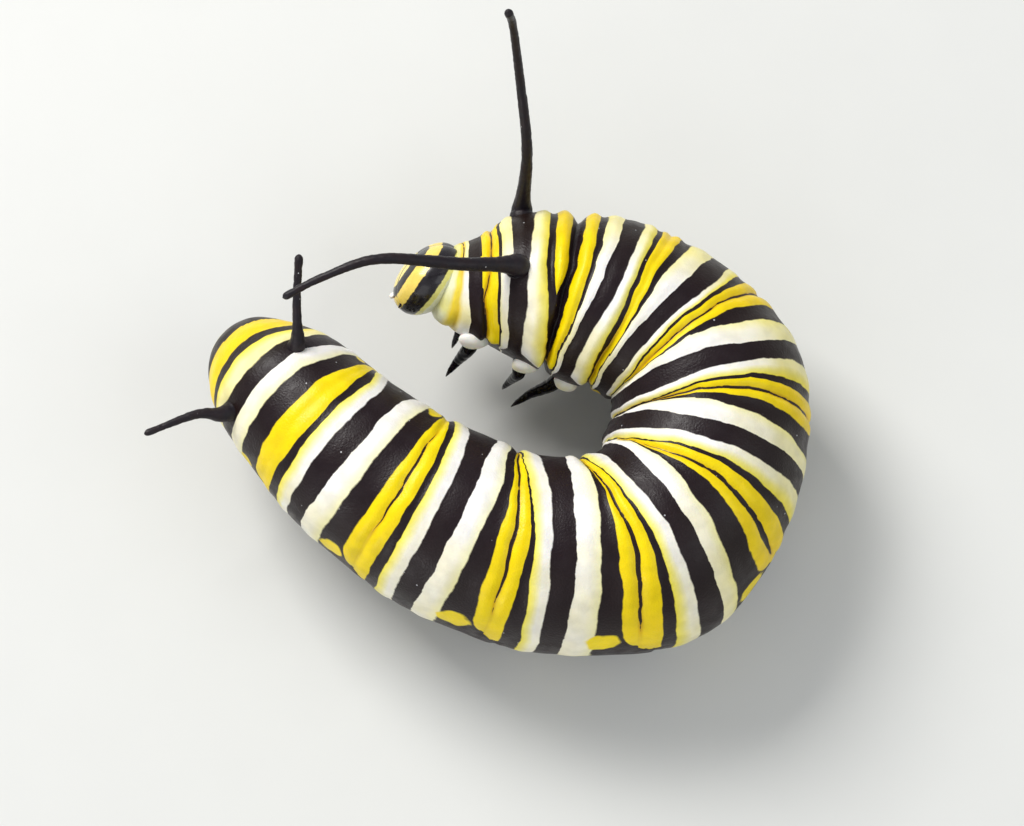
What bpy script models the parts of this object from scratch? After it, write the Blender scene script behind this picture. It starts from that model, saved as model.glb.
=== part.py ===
"""Monarch larva, last instar, as a still life-size model curled on the floor.

Metres, +Z up, the floor at z = 0. The body runs from the head, at -X and +Y, round a C to the tail at -X.
Sizes below are in millimetres and degrees, and MM turns them into metres.
"""

import math
from dataclasses import dataclass

import bmesh
import bpy
from mathutils import Matrix, Vector

MM = 0.001
GAP = 0.3  # left between pieces that touch
AROUND = 28  # sides of a body ring
LIMB_SIDES = 12
FINE_LIMB_SIDES = 8

# Puts the middle of the finished model's box over the origin.
ORIGIN = Vector((-1.3186, 1.4706, 0.0))

DORSAL_HEIGHT = 1.0  # of the half width, from the centre line to the back
VENTRAL_HEIGHT = 0.86  # and to the belly


@dataclass
class Station:
    """A cross-section of the body: its centre and half width, and its directions in degrees.

    heading is the compass direction towards the head, pitch is how far that direction rises, and lean is how far
    the back tips over to the animal's right.
    """

    name: str
    x: float
    y: float
    z: float
    half_width: float
    heading: float
    pitch: float
    lean: float


# The middle of each segment, from the neck to the tip of the tail.
STATIONS = [
    Station("neck", -2.45, 4.80, 5.20, 1.55, 168, 18, 34),
    Station("thorax_1", -1.32, 4.50, 5.20, 2.00, 180, 4, 34),
    Station("thorax_2", 0.35, 4.50, 5.30, 2.85, 178, 2, 34),
    Station("thorax_3", 3.17, 4.02, 5.10, 3.35, 158, 7, 31),
    Station("abdomen_1", 5.40, 3.12, 4.80, 3.38, 139, 4, 28),
    Station("abdomen_2", 7.12, 1.30, 4.50, 3.66, 107, 3, 25),
    Station("abdomen_3", 7.12, -1.56, 4.40, 3.74, 77, 0, 15),
    Station("abdomen_4", 5.30, -4.82, 4.40, 3.88, 32, -1, 8),
    Station("abdomen_5", 1.32, -5.45, 4.60, 3.60, 0, -7, 6),
    Station("abdomen_6", -2.56, -4.20, 4.90, 3.47, -24, -7, 8),
    Station("abdomen_7", -6.00, -1.82, 5.10, 3.10, -39, -3, 13),
    Station("abdomen_8", -8.41, 0.80, 4.85, 2.64, -52, 10, 18),
    Station("abdomen_9", -9.38, 1.74, 4.25, 2.18, -48, 20, 18),
    Station("abdomen_10", -10.00, 2.42, 3.60, 1.70, -43, 26, 16),
    Station("tip", -10.62, 3.08, 2.90, 1.15, -42, 28, 14),
]

# Where one segment folds into the next, counted in stations from the neck.
FOLDS = [0.0, 1.5, 2.6, 3.52, 4.42, 5.4, 6.42, 7.37, 8.4, 9.4, 10.4, 11.5, 12.5, 14.0]
TAIL_START = 12.9  # the last segment rounds off from here to the tip
TAIL_END_WIDTH = 0.30  # of the half width, at the last ring

# Along one segment, front to rear: place, and the half width's share there.
RING_PROFILE = [
    (0.00, 0.900),
    (0.07, 0.965),
    (0.20, 1.000),
    (0.36, 0.985),
    (0.52, 1.005),
    (0.68, 0.985),
    (0.82, 1.000),
    (0.94, 0.965),
    (1.00, 0.900),
]
BAND_COLOURS = ["yellow", "black", "white", "black", "black", "white", "black", "yellow"]

BLACK = ("black", (0.028, 0.020, 0.026), 0.42)
WHITE = ("white", (0.86, 0.85, 0.79), 0.45)
YELLOW = ("yellow", (0.92, 0.72, 0.02), 0.42)
SHINY_BLACK = ("shiny_black", (0.010, 0.009, 0.012), 0.18)


def new_material(name, colour, roughness):
    """A plain Principled material."""
    material = bpy.data.materials.new(name)
    material.use_nodes = True
    shader = material.node_tree.nodes["Principled BSDF"]
    shader.inputs["Base Color"].default_value = (*colour, 1.0)
    shader.inputs["Roughness"].default_value = roughness
    return material


def hermite(values, t):
    """A smooth curve through values at t = 0, 1, 2 and so on, with Catmull-Rom slopes."""
    last = len(values) - 1
    i = min(max(int(math.floor(t)), 0), last - 1)
    f = t - i
    a, b = values[i], values[i + 1]
    slope_a = (b - values[i - 1]) * 0.5 if i > 0 else b - a
    slope_b = (values[i + 2] - a) * 0.5 if i + 2 <= last else b - a
    f2, f3 = f * f, f * f * f
    return (
        a * (2 * f3 - 3 * f2 + 1)
        + slope_a * (f3 - 2 * f2 + f)
        + b * (3 * f2 - 2 * f3)
        + slope_b * (f3 - f2)
    )


CENTRES = [Vector((s.x, s.y, s.z)) - ORIGIN for s in STATIONS]
WIDTHS = [s.half_width for s in STATIONS]
HEADINGS = [s.heading for s in STATIONS]
PITCHES = [s.pitch for s in STATIONS]
LEANS = [s.lean for s in STATIONS]


def body_frame(t):
    """Centre, direction to the head, left side and back of the body at station t."""
    heading, pitch, lean = (math.radians(hermite(angles, t)) for angles in (HEADINGS, PITCHES, LEANS))
    level = math.cos(pitch)
    forward = Vector((math.cos(heading) * level, math.sin(heading) * level, math.sin(pitch)))
    left = Vector((0, 0, 1)).cross(forward).normalized()
    back = forward.cross(left)
    leaned_back = back * math.cos(lean) - left * math.sin(lean)
    leaned_left = left * math.cos(lean) + back * math.sin(lean)
    return hermite(CENTRES, t), forward, leaned_left, leaned_back


def half_width(t):
    """Half width at station t, rounded off at the tail."""
    width = hermite(WIDTHS, t)
    if t <= TAIL_START:
        return width
    f = (t - TAIL_START) / (FOLDS[-1] - TAIL_START)
    return width * (TAIL_END_WIDTH + (1 - TAIL_END_WIDTH) * math.sqrt(max(0.0, 1 - f * f)))


def outward(t, around):
    """Direction out of the body at an angle from the back towards the left, scaled by the section's shape."""
    _, _, left, back = body_frame(t)
    angle = math.radians(around)
    height = DORSAL_HEIGHT if math.cos(angle) > 0 else VENTRAL_HEIGHT
    return left * math.sin(angle) + back * math.cos(angle) * height


def body_point(t, around, share=1.0, off=0.0):
    """A point of the body's surface, at a share of its half width and a distance off it."""
    direction = outward(t, around)
    return body_frame(t)[0] + direction * half_width(t) * share + direction.normalized() * off


def new_object(name, mesh, materials, collection):
    """Puts a closed bmesh, in millimetres, into the scene as a named object."""
    bmesh.ops.recalc_face_normals(mesh, faces=mesh.faces)
    if mesh.calc_volume(signed=True) < 0:
        bmesh.ops.reverse_faces(mesh, faces=mesh.faces)
    bmesh.ops.triangulate(mesh, faces=[f for f in mesh.faces if len(f.verts) > 4])
    bmesh.ops.scale(mesh, vec=(MM, MM, MM), verts=mesh.verts)
    data = bpy.data.meshes.new(name)
    mesh.to_mesh(data)
    mesh.free()
    obj = bpy.data.objects.new(name, data)
    for material in materials:
        data.materials.append(material)
    data.shade_smooth()
    data.set_sharp_from_angle(angle=math.radians(50))
    collection.objects.link(obj)
    return obj


def loft(mesh, rings, first=None, last=None, materials=None):
    """Skins rings of points into one closed surface, with a centre point at each end."""
    rows = [[mesh.verts.new(p) for p in ring] for ring in rings]
    sides = len(rows[0])
    for k, (row, following) in enumerate(zip(rows, rows[1:])):
        for i in range(sides):
            j = (i + 1) % sides
            face = mesh.faces.new((row[i], row[j], following[j], following[i]))
            face.material_index = materials[k] if materials else 0
    for row, centre in ((rows[0], first), (rows[-1], last)):
        if centre is None:
            mesh.faces.new(row)
            continue
        hub = mesh.verts.new(centre)
        for i in range(sides):
            mesh.faces.new((row[i], row[(i + 1) % sides], hub))


def segment_ring(front, rear, f, share):
    """One ring of a segment, its two ends held back from the folds by half the gap all the way round."""
    ring = []
    for i in range(AROUND):
        around = 360 * i / AROUND
        length = (body_point(rear, around) - body_point(front, around)).length
        margin = min(0.45, 0.5 * GAP / length)
        t = front + (rear - front) * (margin + (1 - 2 * margin) * f)
        ring.append(body_point(t, around, share))
    return ring


def make_segment(index, materials, collection):
    """One ring-shaped segment of the body, with shallow folds at its ends and two creases."""
    front, rear = FOLDS[index], FOLDS[index + 1]
    tail = index == len(FOLDS) - 2
    profile = RING_PROFILE
    if index == 0:
        profile = [(f, 1.0 if f < 0.1 else share) for f, share in RING_PROFILE]
    if tail:
        profile = [(f, 1.0 if f > 0.5 else share) for f, share in RING_PROFILE]
    rings = [segment_ring(front, rear, f, share) for f, share in profile]
    middle = [sum(ring, Vector()) / AROUND for ring in (rings[0], rings[-1])]
    slots = [list(materials).index(name) for name in BAND_COLOURS]
    mesh = bmesh.new()
    loft(mesh, rings, middle[0], middle[1], slots)
    return new_object(STATIONS[index + 1].name, mesh, materials.values(), collection)


@dataclass
class Limb:
    """Something that grows from the body: where its root sits, and how wide the root is."""

    name: str
    station: float
    around: float
    half_length: float  # of the root along the body, in stations
    half_angle: float  # of the root round the body, in degrees
    sides: int = LIMB_SIDES


def root_ring(limb, share):
    """A ring laid on the body's surface, at a share of the root's size."""
    ring = []
    for i in range(limb.sides):
        angle = 2 * math.pi * i / limb.sides
        t = limb.station + limb.half_length * share * math.cos(angle)
        around = limb.around + limb.half_angle * share * math.sin(angle)
        ring.append(body_point(t, around, off=GAP))
    return ring


def limb_rings(limb, path, radii, level=0):
    """A root laid on the body's surface, then rings along path, the last few of them level.

    Gives the rings and the root's middle.
    """
    rings = [root_ring(limb, 0.5), root_ring(limb, 1.0)]
    root = body_point(limb.station, limb.around, off=GAP)
    before = root
    first = rings[1][0] - root
    second = rings[1][limb.sides // 4] - root
    turns = [2 * math.pi * i / limb.sides for i in range(limb.sides)]
    for k, (centre, (across, along)) in enumerate(zip(path, radii)):
        after = path[min(k + 1, len(path) - 1)]
        axis = (after - before).normalized()
        if k >= len(path) - level:
            axis = Vector((0, 0, -1))
        first = (first - axis * first.dot(axis)).normalized()
        second = (second - axis * second.dot(axis) - first * second.dot(first)).normalized()
        rings.append([centre + first * along * math.cos(a) + second * across * math.sin(a) for a in turns])
        before = centre
    return rings, root


def round_sizes(radii):
    """The same half size both ways for each ring."""
    return [(r, r) for r in radii]


def make_limb(limb, path, radii, material, collection, level=0):
    """A limb as one closed solid."""
    rings, root = limb_rings(limb, path, radii, level)
    mesh = bmesh.new()
    tip = None if level else path[-1]
    loft(mesh, rings, root, tip)
    return new_object(limb.name, mesh, [material], collection)


def smooth_path(points, steps):
    """Points on a smooth curve through the given ones."""
    count = (len(points) - 1) * steps
    return [hermite(points, k / steps) for k in range(count + 1)]


@dataclass
class Filament:
    """A long fleshy feeler: its root, the points it passes through, and its thickness."""

    name: str
    station: float
    around: float
    points: list
    root_radius: float
    shaft_radius: float
    knob_radius: float


FILAMENTS = [
    Filament(
        "front_filament_left", 2.0, 33,
        [(-1.9, 4.17, 9.6), (-4.8, 4.07, 10.5), (-6.9, 3.41, 10.3), (-8.3, 2.78, 9.9)],
        0.32, 0.25, 0.26,
    ),
    Filament(
        "front_filament_right", 2.0, -36,
        [(0.55, 8.67, 9.2), (0.29, 10.53, 11.6), (0.04, 11.68, 14.0), (-0.14, 11.75, 15.4)],
        0.32, 0.25, 0.26,
    ),
    Filament(
        "rear_filament_left", 11.0, 40,
        [(-7.84, 3.1, 8.6), (-7.75, 4.67, 9.2)],
        0.29, 0.25, 0.26,
    ),
    Filament(
        "rear_filament_right", 11.0, -42,
        [(-11.6, -0.70, 6.7), (-13.42, -1.52, 7.0)],
        0.29, 0.25, 0.26,
    ),
]
FILAMENT_STEPS = 3
FILAMENT_RISE = 0.45  # straight out of the body before the first bend
FILAMENT_ROOT_LENGTH = 0.17  # half, in stations
FILAMENT_ROOT_ANGLE = 12


def make_filament(filament, material, collection):
    """A tapering feeler that ends in a small knob."""
    root = body_point(filament.station, filament.around, off=GAP)
    normal = outward(filament.station, filament.around).normalized()
    through = [root, root + normal * FILAMENT_RISE] + [Vector(p) - ORIGIN for p in filament.points]
    points = smooth_path(through, FILAMENT_STEPS)[3:]
    last = len(points) - 1
    radii = []
    for k in range(last + 1):
        f = k / last
        radii.append(filament.shaft_radius + (filament.root_radius - filament.shaft_radius) * (1 - f) ** 2)
    direction = (points[-1] - points[-2]).normalized()
    radii[-1] = filament.knob_radius
    points.append(points[-1] + direction * 0.7 * filament.knob_radius)
    radii.append(0.7 * filament.knob_radius)
    length = FILAMENT_ROOT_LENGTH * (0.6 if filament.station < 3 else 1.0)
    limb = Limb(filament.name, filament.station, filament.around, length, FILAMENT_ROOT_ANGLE, FINE_LIMB_SIDES)
    return make_limb(limb, points, round_sizes(radii), material, collection)


@dataclass
class Leg:
    """A jointed leg of the thorax: its root on the body and the places of its joints."""

    name: str
    station: float
    around: float
    points: list
    on_floor: bool


LEGS = [
    Leg("leg_1_left", 1.05, 138, [(-1.64, 2.50, 4.3), (-2.03, 2.30, 3.5), (-2.51, 1.83, 3.0)], False),
    Leg("leg_1_right", 1.05, 222, [(-1.7, 4.5, 2.6), (-2.0, 3.9, 2.0), (-2.3, 3.4, 1.4)], False),
    Leg("leg_2_left", 2.05, 140, [(0.25, 1.62, 4.1), (0.05, 1.70, 3.4), (-0.26, 1.64, 2.6)], False),
    Leg("leg_2_right", 2.05, 220, [(0.2, 4.85, 1.8), (0.0, 4.75, 1.0), (-0.3, 4.65, 0.0)], True),
    Leg("leg_3_left", 2.95, 142, [(1.45, 1.30, 3.7), (0.67, 1.14, 3.1), (-0.08, 0.78, 2.6)], False),
    Leg("leg_3_right", 2.95, 218, [(3.25, 4.5, 1.3), (3.1, 4.4, 0.7), (2.8, 4.3, 0.0)], True),
]
LEG_RADII = (0.34, 0.30, 0.25)
LEG_TIP_RADIUS = 0.10
LEG_FOOT_RADIUS = 0.16
LEG_ROOT_HALF_LENGTH = 0.13
LEG_ROOT_HALF_ANGLE = 11


def make_leg(leg, material, collection):
    """A short cone of a leg in three joints, ending in a claw, or in a small flat where it stands."""
    points = [Vector(p) - ORIGIN for p in leg.points]
    path = [points[0], points[0].lerp(points[1], 0.9), points[1], points[1].lerp(points[2], 0.45), points[2]]
    tip = LEG_FOOT_RADIUS if leg.on_floor else LEG_TIP_RADIUS
    radii = [LEG_RADII[0], LEG_RADII[1], LEG_RADII[1] * 0.85, LEG_RADII[2], tip]
    limb = Limb(leg.name, leg.station, leg.around, LEG_ROOT_HALF_LENGTH, LEG_ROOT_HALF_ANGLE, FINE_LIMB_SIDES)
    return make_limb(limb, path, round_sizes(radii), material, collection, int(leg.on_floor))


SIDES = {"left": 1, "right": -1}
PROLEG_STATIONS = {3: 6.0, 4: 7.0, 5: 8.0, 6: 9.0}
ANAL_PROLEG_STATION = 12.95
ANAL_PROLEG_SCALE = 0.8
PROLEG_AROUND = 30  # from the belly's middle line
PROLEG_HALF_LENGTH = 0.24
PROLEG_HALF_ANGLE = 17
FOOT_SPREAD = 1.45  # each foot from below the middle of the belly
FOOT_HALF_LENGTH = 0.52
FOOT_HALF_WIDTH = 0.72
WAIST = 0.82  # of the foot, a little above it
WAIST_HEIGHT = 0.6  # of the root's lowest point
SOLE_THICKNESS = 0.18


def make_proleg(name, station, sign, scale, material, collection):
    """A fleshy foot from the belly down to a flat sole on the floor."""
    around = 180 - sign * PROLEG_AROUND
    limb = Limb(name, station, around, PROLEG_HALF_LENGTH, PROLEG_HALF_ANGLE)
    forward = body_frame(station)[1]
    flat_left = Vector((0, 0, 1)).cross(forward).normalized()
    root = body_point(station, around, off=GAP)
    foot = body_point(station, 180) + flat_left * sign * FOOT_SPREAD * scale
    foot.z = 0
    lowest = min(point.z for point in root_ring(limb, 1.0))  # the level rings stay below the root
    waist = foot.lerp(root, 0.32)
    waist.z = WAIST_HEIGHT * lowest
    sole_top = foot + Vector((0, 0, min(SOLE_THICKNESS, SOLE_THICKNESS * lowest)))
    length, width = FOOT_HALF_LENGTH * scale, FOOT_HALF_WIDTH * scale
    sizes = [(width * WAIST, length * WAIST), (width, length), (width, length)]
    path = [waist, sole_top, foot]
    return make_limb(limb, path, sizes, material, collection, level=3)


WELD = 0.001  # points of the head closer than this become one
HEAD_CENTRE = Vector((-3.00, 4.98, 5.20))
HEAD_HALF_WIDTH = 1.50
HEAD_HALF_HEIGHT = 1.60
HEAD_HALF_DEPTH = 1.08
HEAD_PITCH = 38  # the mouth swung forward from straight below the first segment of the thorax
HEAD_ROLL = 30  # the head leans to its right, further than the first segment does


def head_axes():
    """Left, face and crown directions of the head."""
    _, forward, left, back = body_frame(1.0)
    roll, pitch = math.radians(HEAD_ROLL), math.radians(HEAD_PITCH)
    left, back = left * math.cos(roll) + back * math.sin(roll), back * math.cos(roll) - left * math.sin(roll)
    crown = back * math.cos(pitch) - forward * math.sin(pitch)
    face = forward * math.cos(pitch) + back * math.sin(pitch)
    return left, face, crown


def head_point(across, out, up):
    """A point given as shares of the head's half width, half depth and half height."""
    left, face, crown = head_axes()
    offset = left * across * HEAD_HALF_WIDTH + face * out * HEAD_HALF_DEPTH + crown * up * HEAD_HALF_HEIGHT
    return HEAD_CENTRE - ORIGIN + offset


def head_surface(x, y, z):
    """Bends a unit sphere into the capsule: a cleft between two lobes, and narrower cheeks towards the mouth."""
    cleft = 0.10 * math.exp(-((x / 0.22) ** 2)) * max(0.0, z) ** 2
    cheeks = 1.0 - 0.18 * max(0.0, -z) ** 1.5
    flat_face = 1.0 - 0.08 * max(0.0, y) * (1 - x * x)
    return x * cheeks, y * flat_face, (z - cleft) * (1.0 if z > 0 else 0.95)


def ball(name, centre, axes, sizes, collection, segments=10, rings=6):
    """A closed ellipsoid for joining to the head."""
    mesh = bmesh.new()
    bmesh.ops.create_uvsphere(mesh, u_segments=segments, v_segments=rings, radius=1)
    turn = Matrix([[a[i] for a in axes] for i in range(3)])
    for v in mesh.verts:
        v.co = centre + turn @ Vector((v.co[k] * sizes[k] for k in range(3)))
    data = bpy.data.meshes.new(name)
    mesh.to_mesh(data)
    mesh.free()
    obj = bpy.data.objects.new(name, data)
    collection.objects.link(obj)
    return obj


EYE_RADIUS = 0.10
EYE_ARC_DEPTH = 0.27  # of the head's half depth
EYE_ARC_HEIGHT = 0.23  # of its half height
EYE_ANGLES = (-104, -52, 3, 54, 103, 172)


def eye_places(sign):
    """Six simple eyes low on each cheek, five in an arc and one behind."""
    for angle in EYE_ANGLES:
        yield (
            sign * 0.76,
            0.30 + EYE_ARC_DEPTH * math.cos(math.radians(angle)),
            -0.46 + EYE_ARC_HEIGHT * math.sin(math.radians(angle)),
        )


def make_head(material, collection, helpers):
    """The hard head capsule with lip, jaws and simple eyes, its back cut flat where it meets the neck."""
    left, face, crown = head_axes()
    mesh = bmesh.new()
    bmesh.ops.create_uvsphere(mesh, u_segments=24, v_segments=16, radius=1)
    for v in mesh.verts:
        v.co = head_point(*head_surface(*v.co))
    cut_flat(mesh, body_frame(0.0))
    data = bpy.data.meshes.new("head")
    mesh.to_mesh(data)
    mesh.free()
    head = bpy.data.objects.new("head", data)
    data.materials.append(material)
    collection.objects.link(head)
    axes = (left, face, crown)
    ball("upper_lip", head_point(0, 0.63, -0.85), axes, (0.41, 0.26, 0.26), helpers)
    ball("lower_lip", head_point(0, -0.16, -0.93), axes, (0.31, 0.27, 0.27), helpers)
    for sign in (1, -1):
        ball(f"jaw_{sign}", head_point(sign * 0.25, 0.37, -0.91), axes, (0.27, 0.31, 0.29), helpers)
        ball(f"antenna_{sign}", head_point(sign * 0.60, 0.52, -0.66), axes, (0.14, 0.15, 0.31), helpers)
        for k, place in enumerate(eye_places(sign)):
            out = Vector(place).normalized()
            at = head_point(*head_surface(*out))
            ball(f"eye_{sign}_{k}", at, axes, (EYE_RADIUS,) * 3, helpers, 6, 4)
    union = head.modifiers.new("join", "BOOLEAN")
    union.operation = "UNION"
    union.operand_type = "COLLECTION"
    union.collection = helpers
    graph = bpy.context.evaluated_depsgraph_get()
    joined = bpy.data.meshes.new_from_object(head.evaluated_get(graph))
    head.modifiers.clear()
    for helper in list(helpers.objects):
        bpy.data.objects.remove(helper)
    head.data = weld(joined)
    return head


def cut_flat(mesh, frame):
    """Cuts away what lies behind a plane just in front of the neck."""
    centre, forward, _, _ = frame
    plane = centre + forward * 0.5 * GAP
    parts = mesh.verts[:] + mesh.edges[:] + mesh.faces[:]
    cut = bmesh.ops.bisect_plane(
        mesh, geom=parts, dist=0.01, plane_co=plane, plane_no=-forward, clear_outer=True
    )
    rim = [e for e in cut["geom_cut"] if isinstance(e, bmesh.types.BMEdge)]
    bmesh.ops.holes_fill(mesh, edges=rim, sides=0)


def weld(data):
    """Welds the seams of a joined mesh and turns it from millimetres into metres."""
    mesh = bmesh.new()
    mesh.from_mesh(data)
    bmesh.ops.remove_doubles(mesh, verts=mesh.verts, dist=WELD)
    bmesh.ops.dissolve_degenerate(mesh, edges=mesh.edges, dist=WELD)
    bmesh.ops.triangulate(mesh, faces=[f for f in mesh.faces if len(f.verts) > 4])
    bmesh.ops.recalc_face_normals(mesh, faces=mesh.faces)
    bmesh.ops.scale(mesh, vec=(MM, MM, MM), verts=mesh.verts)
    mesh.to_mesh(data)
    mesh.free()
    data.shade_smooth()
    data.set_sharp_from_angle(angle=math.radians(40))
    return data


def main():
    """Builds the larva in a collection of its own."""
    for obj in list(bpy.data.objects):
        bpy.data.objects.remove(obj)
    collection = bpy.data.collections.new("monarch_larva")
    helpers = bpy.data.collections.new("helpers")
    bpy.context.scene.collection.children.link(collection)
    bpy.context.scene.collection.children.link(helpers)
    black, white, yellow = (new_material(*m) for m in (BLACK, WHITE, YELLOW))
    bands = {"black": black, "white": white, "yellow": yellow}
    shiny = new_material(*SHINY_BLACK)
    for index in range(len(FOLDS) - 1):
        make_segment(index, bands, collection)
    for filament in FILAMENTS:
        make_filament(filament, black, collection)
    for leg in LEGS:
        make_leg(leg, shiny, collection)
    for side, sign in SIDES.items():
        for number, station in PROLEG_STATIONS.items():
            make_proleg(f"proleg_{number}_{side}", station, sign, 1.0, black, collection)
        make_proleg(f"anal_proleg_{side}", ANAL_PROLEG_STATION, sign, ANAL_PROLEG_SCALE, black, collection)
    make_head(shiny, collection, helpers)
    bpy.data.collections.remove(helpers)


main()
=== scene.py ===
"""A still, life-size monarch larva, curled in a C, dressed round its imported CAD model.

Lengths in this file are millimetres, and become metres where a mesh is made. Places are in the
drawing's coordinates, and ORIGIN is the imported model's origin in them.
"""

import logging
import math
from dataclasses import dataclass, field
from enum import Enum, IntEnum

import bpy
import numpy as np
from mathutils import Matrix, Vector, noise


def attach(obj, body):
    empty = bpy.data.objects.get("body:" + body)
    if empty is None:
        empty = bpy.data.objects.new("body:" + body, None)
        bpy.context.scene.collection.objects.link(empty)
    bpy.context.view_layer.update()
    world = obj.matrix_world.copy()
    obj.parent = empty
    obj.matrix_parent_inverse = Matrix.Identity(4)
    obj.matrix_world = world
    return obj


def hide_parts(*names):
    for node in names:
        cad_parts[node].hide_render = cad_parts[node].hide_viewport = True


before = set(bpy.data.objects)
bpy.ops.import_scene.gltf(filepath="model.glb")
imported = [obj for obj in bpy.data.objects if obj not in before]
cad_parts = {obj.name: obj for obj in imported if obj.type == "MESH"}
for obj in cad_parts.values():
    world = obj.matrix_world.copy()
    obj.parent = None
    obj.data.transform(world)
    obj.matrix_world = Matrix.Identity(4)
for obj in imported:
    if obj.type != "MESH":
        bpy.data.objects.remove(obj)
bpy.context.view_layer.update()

LOG = logging.getLogger("larva")
MM = 0.001
ORIGIN = np.array([-1.3186, 1.4706, 0.0])
UP = np.array([0.0, 0.0, 1.0])
BODY = "root"
ATLAS = "OFBake"
# Rectangles on the atlas: left, bottom, width and height.
WHOLE_MAP = (0.02, 0.02, 0.96, 0.96)
HALF_MAPS = ((0.02, 0.02, 0.46, 0.96), (0.52, 0.02, 0.46, 0.96))
SIDES = {"left": 1.0, "right": -1.0}
# What the helpers take: a shader's socket or a value, and a share or an array of them.
Socket = bpy.types.NodeSocket
Value = float | Socket
Colour = tuple | Socket
Share = float | np.ndarray


class Slot(Enum):
    """Names of the animal's main finishes."""

    BANDED_SKIN = "banded_skin"
    BLACK_SKIN = "black_skin"
    FILAMENT_SKIN = "filament_skin"
    HEAD_SHELL = "head_shell"
    LEG_SHELL = "leg_shell"


class Zone(IntEnum):
    """The eight bands that repeat along the body, from a segment's middle to the next one's."""

    CENTRE_BLACK = 0
    WHITE_FRONT = 1
    THIN_BLACK = 2
    YELLOW_FRONT = 3
    FOLD_LINE = 4
    YELLOW_REAR = 5
    WIDE_BLACK = 6
    WHITE_REAR = 7


ZONES = len(Zone)


# Small tools


def unit(v: np.ndarray) -> np.ndarray:
    """Vectors of length one."""
    return v / np.maximum(np.linalg.norm(v, axis=-1, keepdims=True), 1e-12)


def rise(x: np.ndarray, start: float, reach: float) -> np.ndarray:
    """A share that is 0 up to the start and 1 from a reach further on."""
    return np.clip((x - start) / reach, 0, 1)


def fall(x: np.ndarray, end: float, reach: float) -> np.ndarray:
    """A share that is 1 up to a reach before the end, and 0 from the end on."""
    return np.clip((end - x) / reach, 0, 1)


def bell(x: np.ndarray, middle: float, reach: float) -> np.ndarray:
    """A bell curve, 1 at its middle."""
    return np.exp(-(((x - middle) / reach) ** 2))


def circle(count: int) -> np.ndarray:
    """Even angles once round, in radians."""
    return np.arange(count) / count * 2 * math.pi


def smooth_curve(values: np.ndarray, t: np.ndarray) -> np.ndarray:
    """A smooth curve through values at t = 0, 1, 2 and so on.

    Args:
        values: One row per knot.
        t: The places to read.

    Returns:
        One row per place.
    """
    values = np.asarray(values, float).reshape(len(values), -1)
    t = np.atleast_1d(np.asarray(t, float))
    padded = np.vstack([2 * values[0] - values[1], values, 2 * values[-1] - values[-2]])
    i = np.clip(np.floor(t).astype(int), 0, len(values) - 2)
    f = (t - i)[:, None]
    before, a, b, after = (padded[i + k] for k in range(4))
    f2, f3 = f * f, f * f * f
    slope_a, slope_b = (b - before) / 2, (after - a) / 2
    from_a = a * (2 * f3 - 3 * f2 + 1) + slope_a * (f3 - 2 * f2 + f)
    return from_a + b * (3 * f2 - 2 * f3) + slope_b * (f3 - f2)


def along(points: np.ndarray, count: int) -> tuple:
    """Evenly spaced points on a smooth curve through the given ones.

    Args:
        points: The given points.
        count: How many to read.

    Returns:
        The points, and the share of the length gone by at each.
    """
    fine = smooth_curve(points, np.linspace(0, len(points) - 1, 400))
    run = run_of(fine)
    share = np.linspace(0, 1, count)
    return np.stack([np.interp(share * run[-1], run, fine[:, k]) for k in range(3)], 1), share


def run_of(path: np.ndarray) -> np.ndarray:
    """The length gone by at each point of a path."""
    return np.concatenate([[0], np.cumsum(np.linalg.norm(np.diff(path, axis=0), axis=1))])


def ripple(points: np.ndarray, size: float, octaves: int = 1, seed: float = 0.0) -> np.ndarray:
    """Smooth noise between about -1 and 1.

    Args:
        points: Places in millimetres, of any shape ending in 3.
        size: The noise's wavelength in millimetres.
        octaves: How many finer layers are added.
        seed: Moves the noise, so that two calls differ.

    Returns:
        One value per point.
    """
    flat = (points.reshape(-1, 3) / size + seed).tolist()
    total = np.zeros(len(flat))
    for k in range(octaves):
        scale = 2.0**k
        total += np.array([noise.noise((x * scale, y * scale, z * scale)) for x, y, z in flat]) / scale
    return total.reshape(points.shape[:-1])


def roughened(grid: np.ndarray, middle: np.ndarray, height: float, size: float, seed: float) -> np.ndarray:
    """Rings with smooth bumps away from their middle.

    Args:
        grid: The rings.
        middle: The point, or a point for each ring, that the bumps rise away from.
        height: The bumps' height.
        size: Their wavelength.
        seed: Moves the noise.

    Returns:
        The bumpy rings.
    """
    return grid + unit(grid - middle) * (height * ripple(grid, size, 2, seed))[..., None]


def blur(grid: np.ndarray, times: int) -> np.ndarray:
    """Evens out a grid along its first axis and, more lightly, round its second.

    Args:
        grid: The values.
        times: How many times they are evened out along the first axis.

    Returns:
        The evened values.
    """
    for _ in range(times):
        padded = np.vstack([grid[:1], grid, grid[-1:]])
        grid = (padded[:-2] + 2 * padded[1:-1] + padded[2:]) / 4
    for _ in range(3):
        grid = (np.roll(grid, 1, 1) + 2 * grid + np.roll(grid, -1, 1)) / 4
    return grid


def blur_line(values: np.ndarray, times: int) -> np.ndarray:
    """Evens out a line of values or points."""
    return blur(values[:, None], times)[:, 0]


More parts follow.
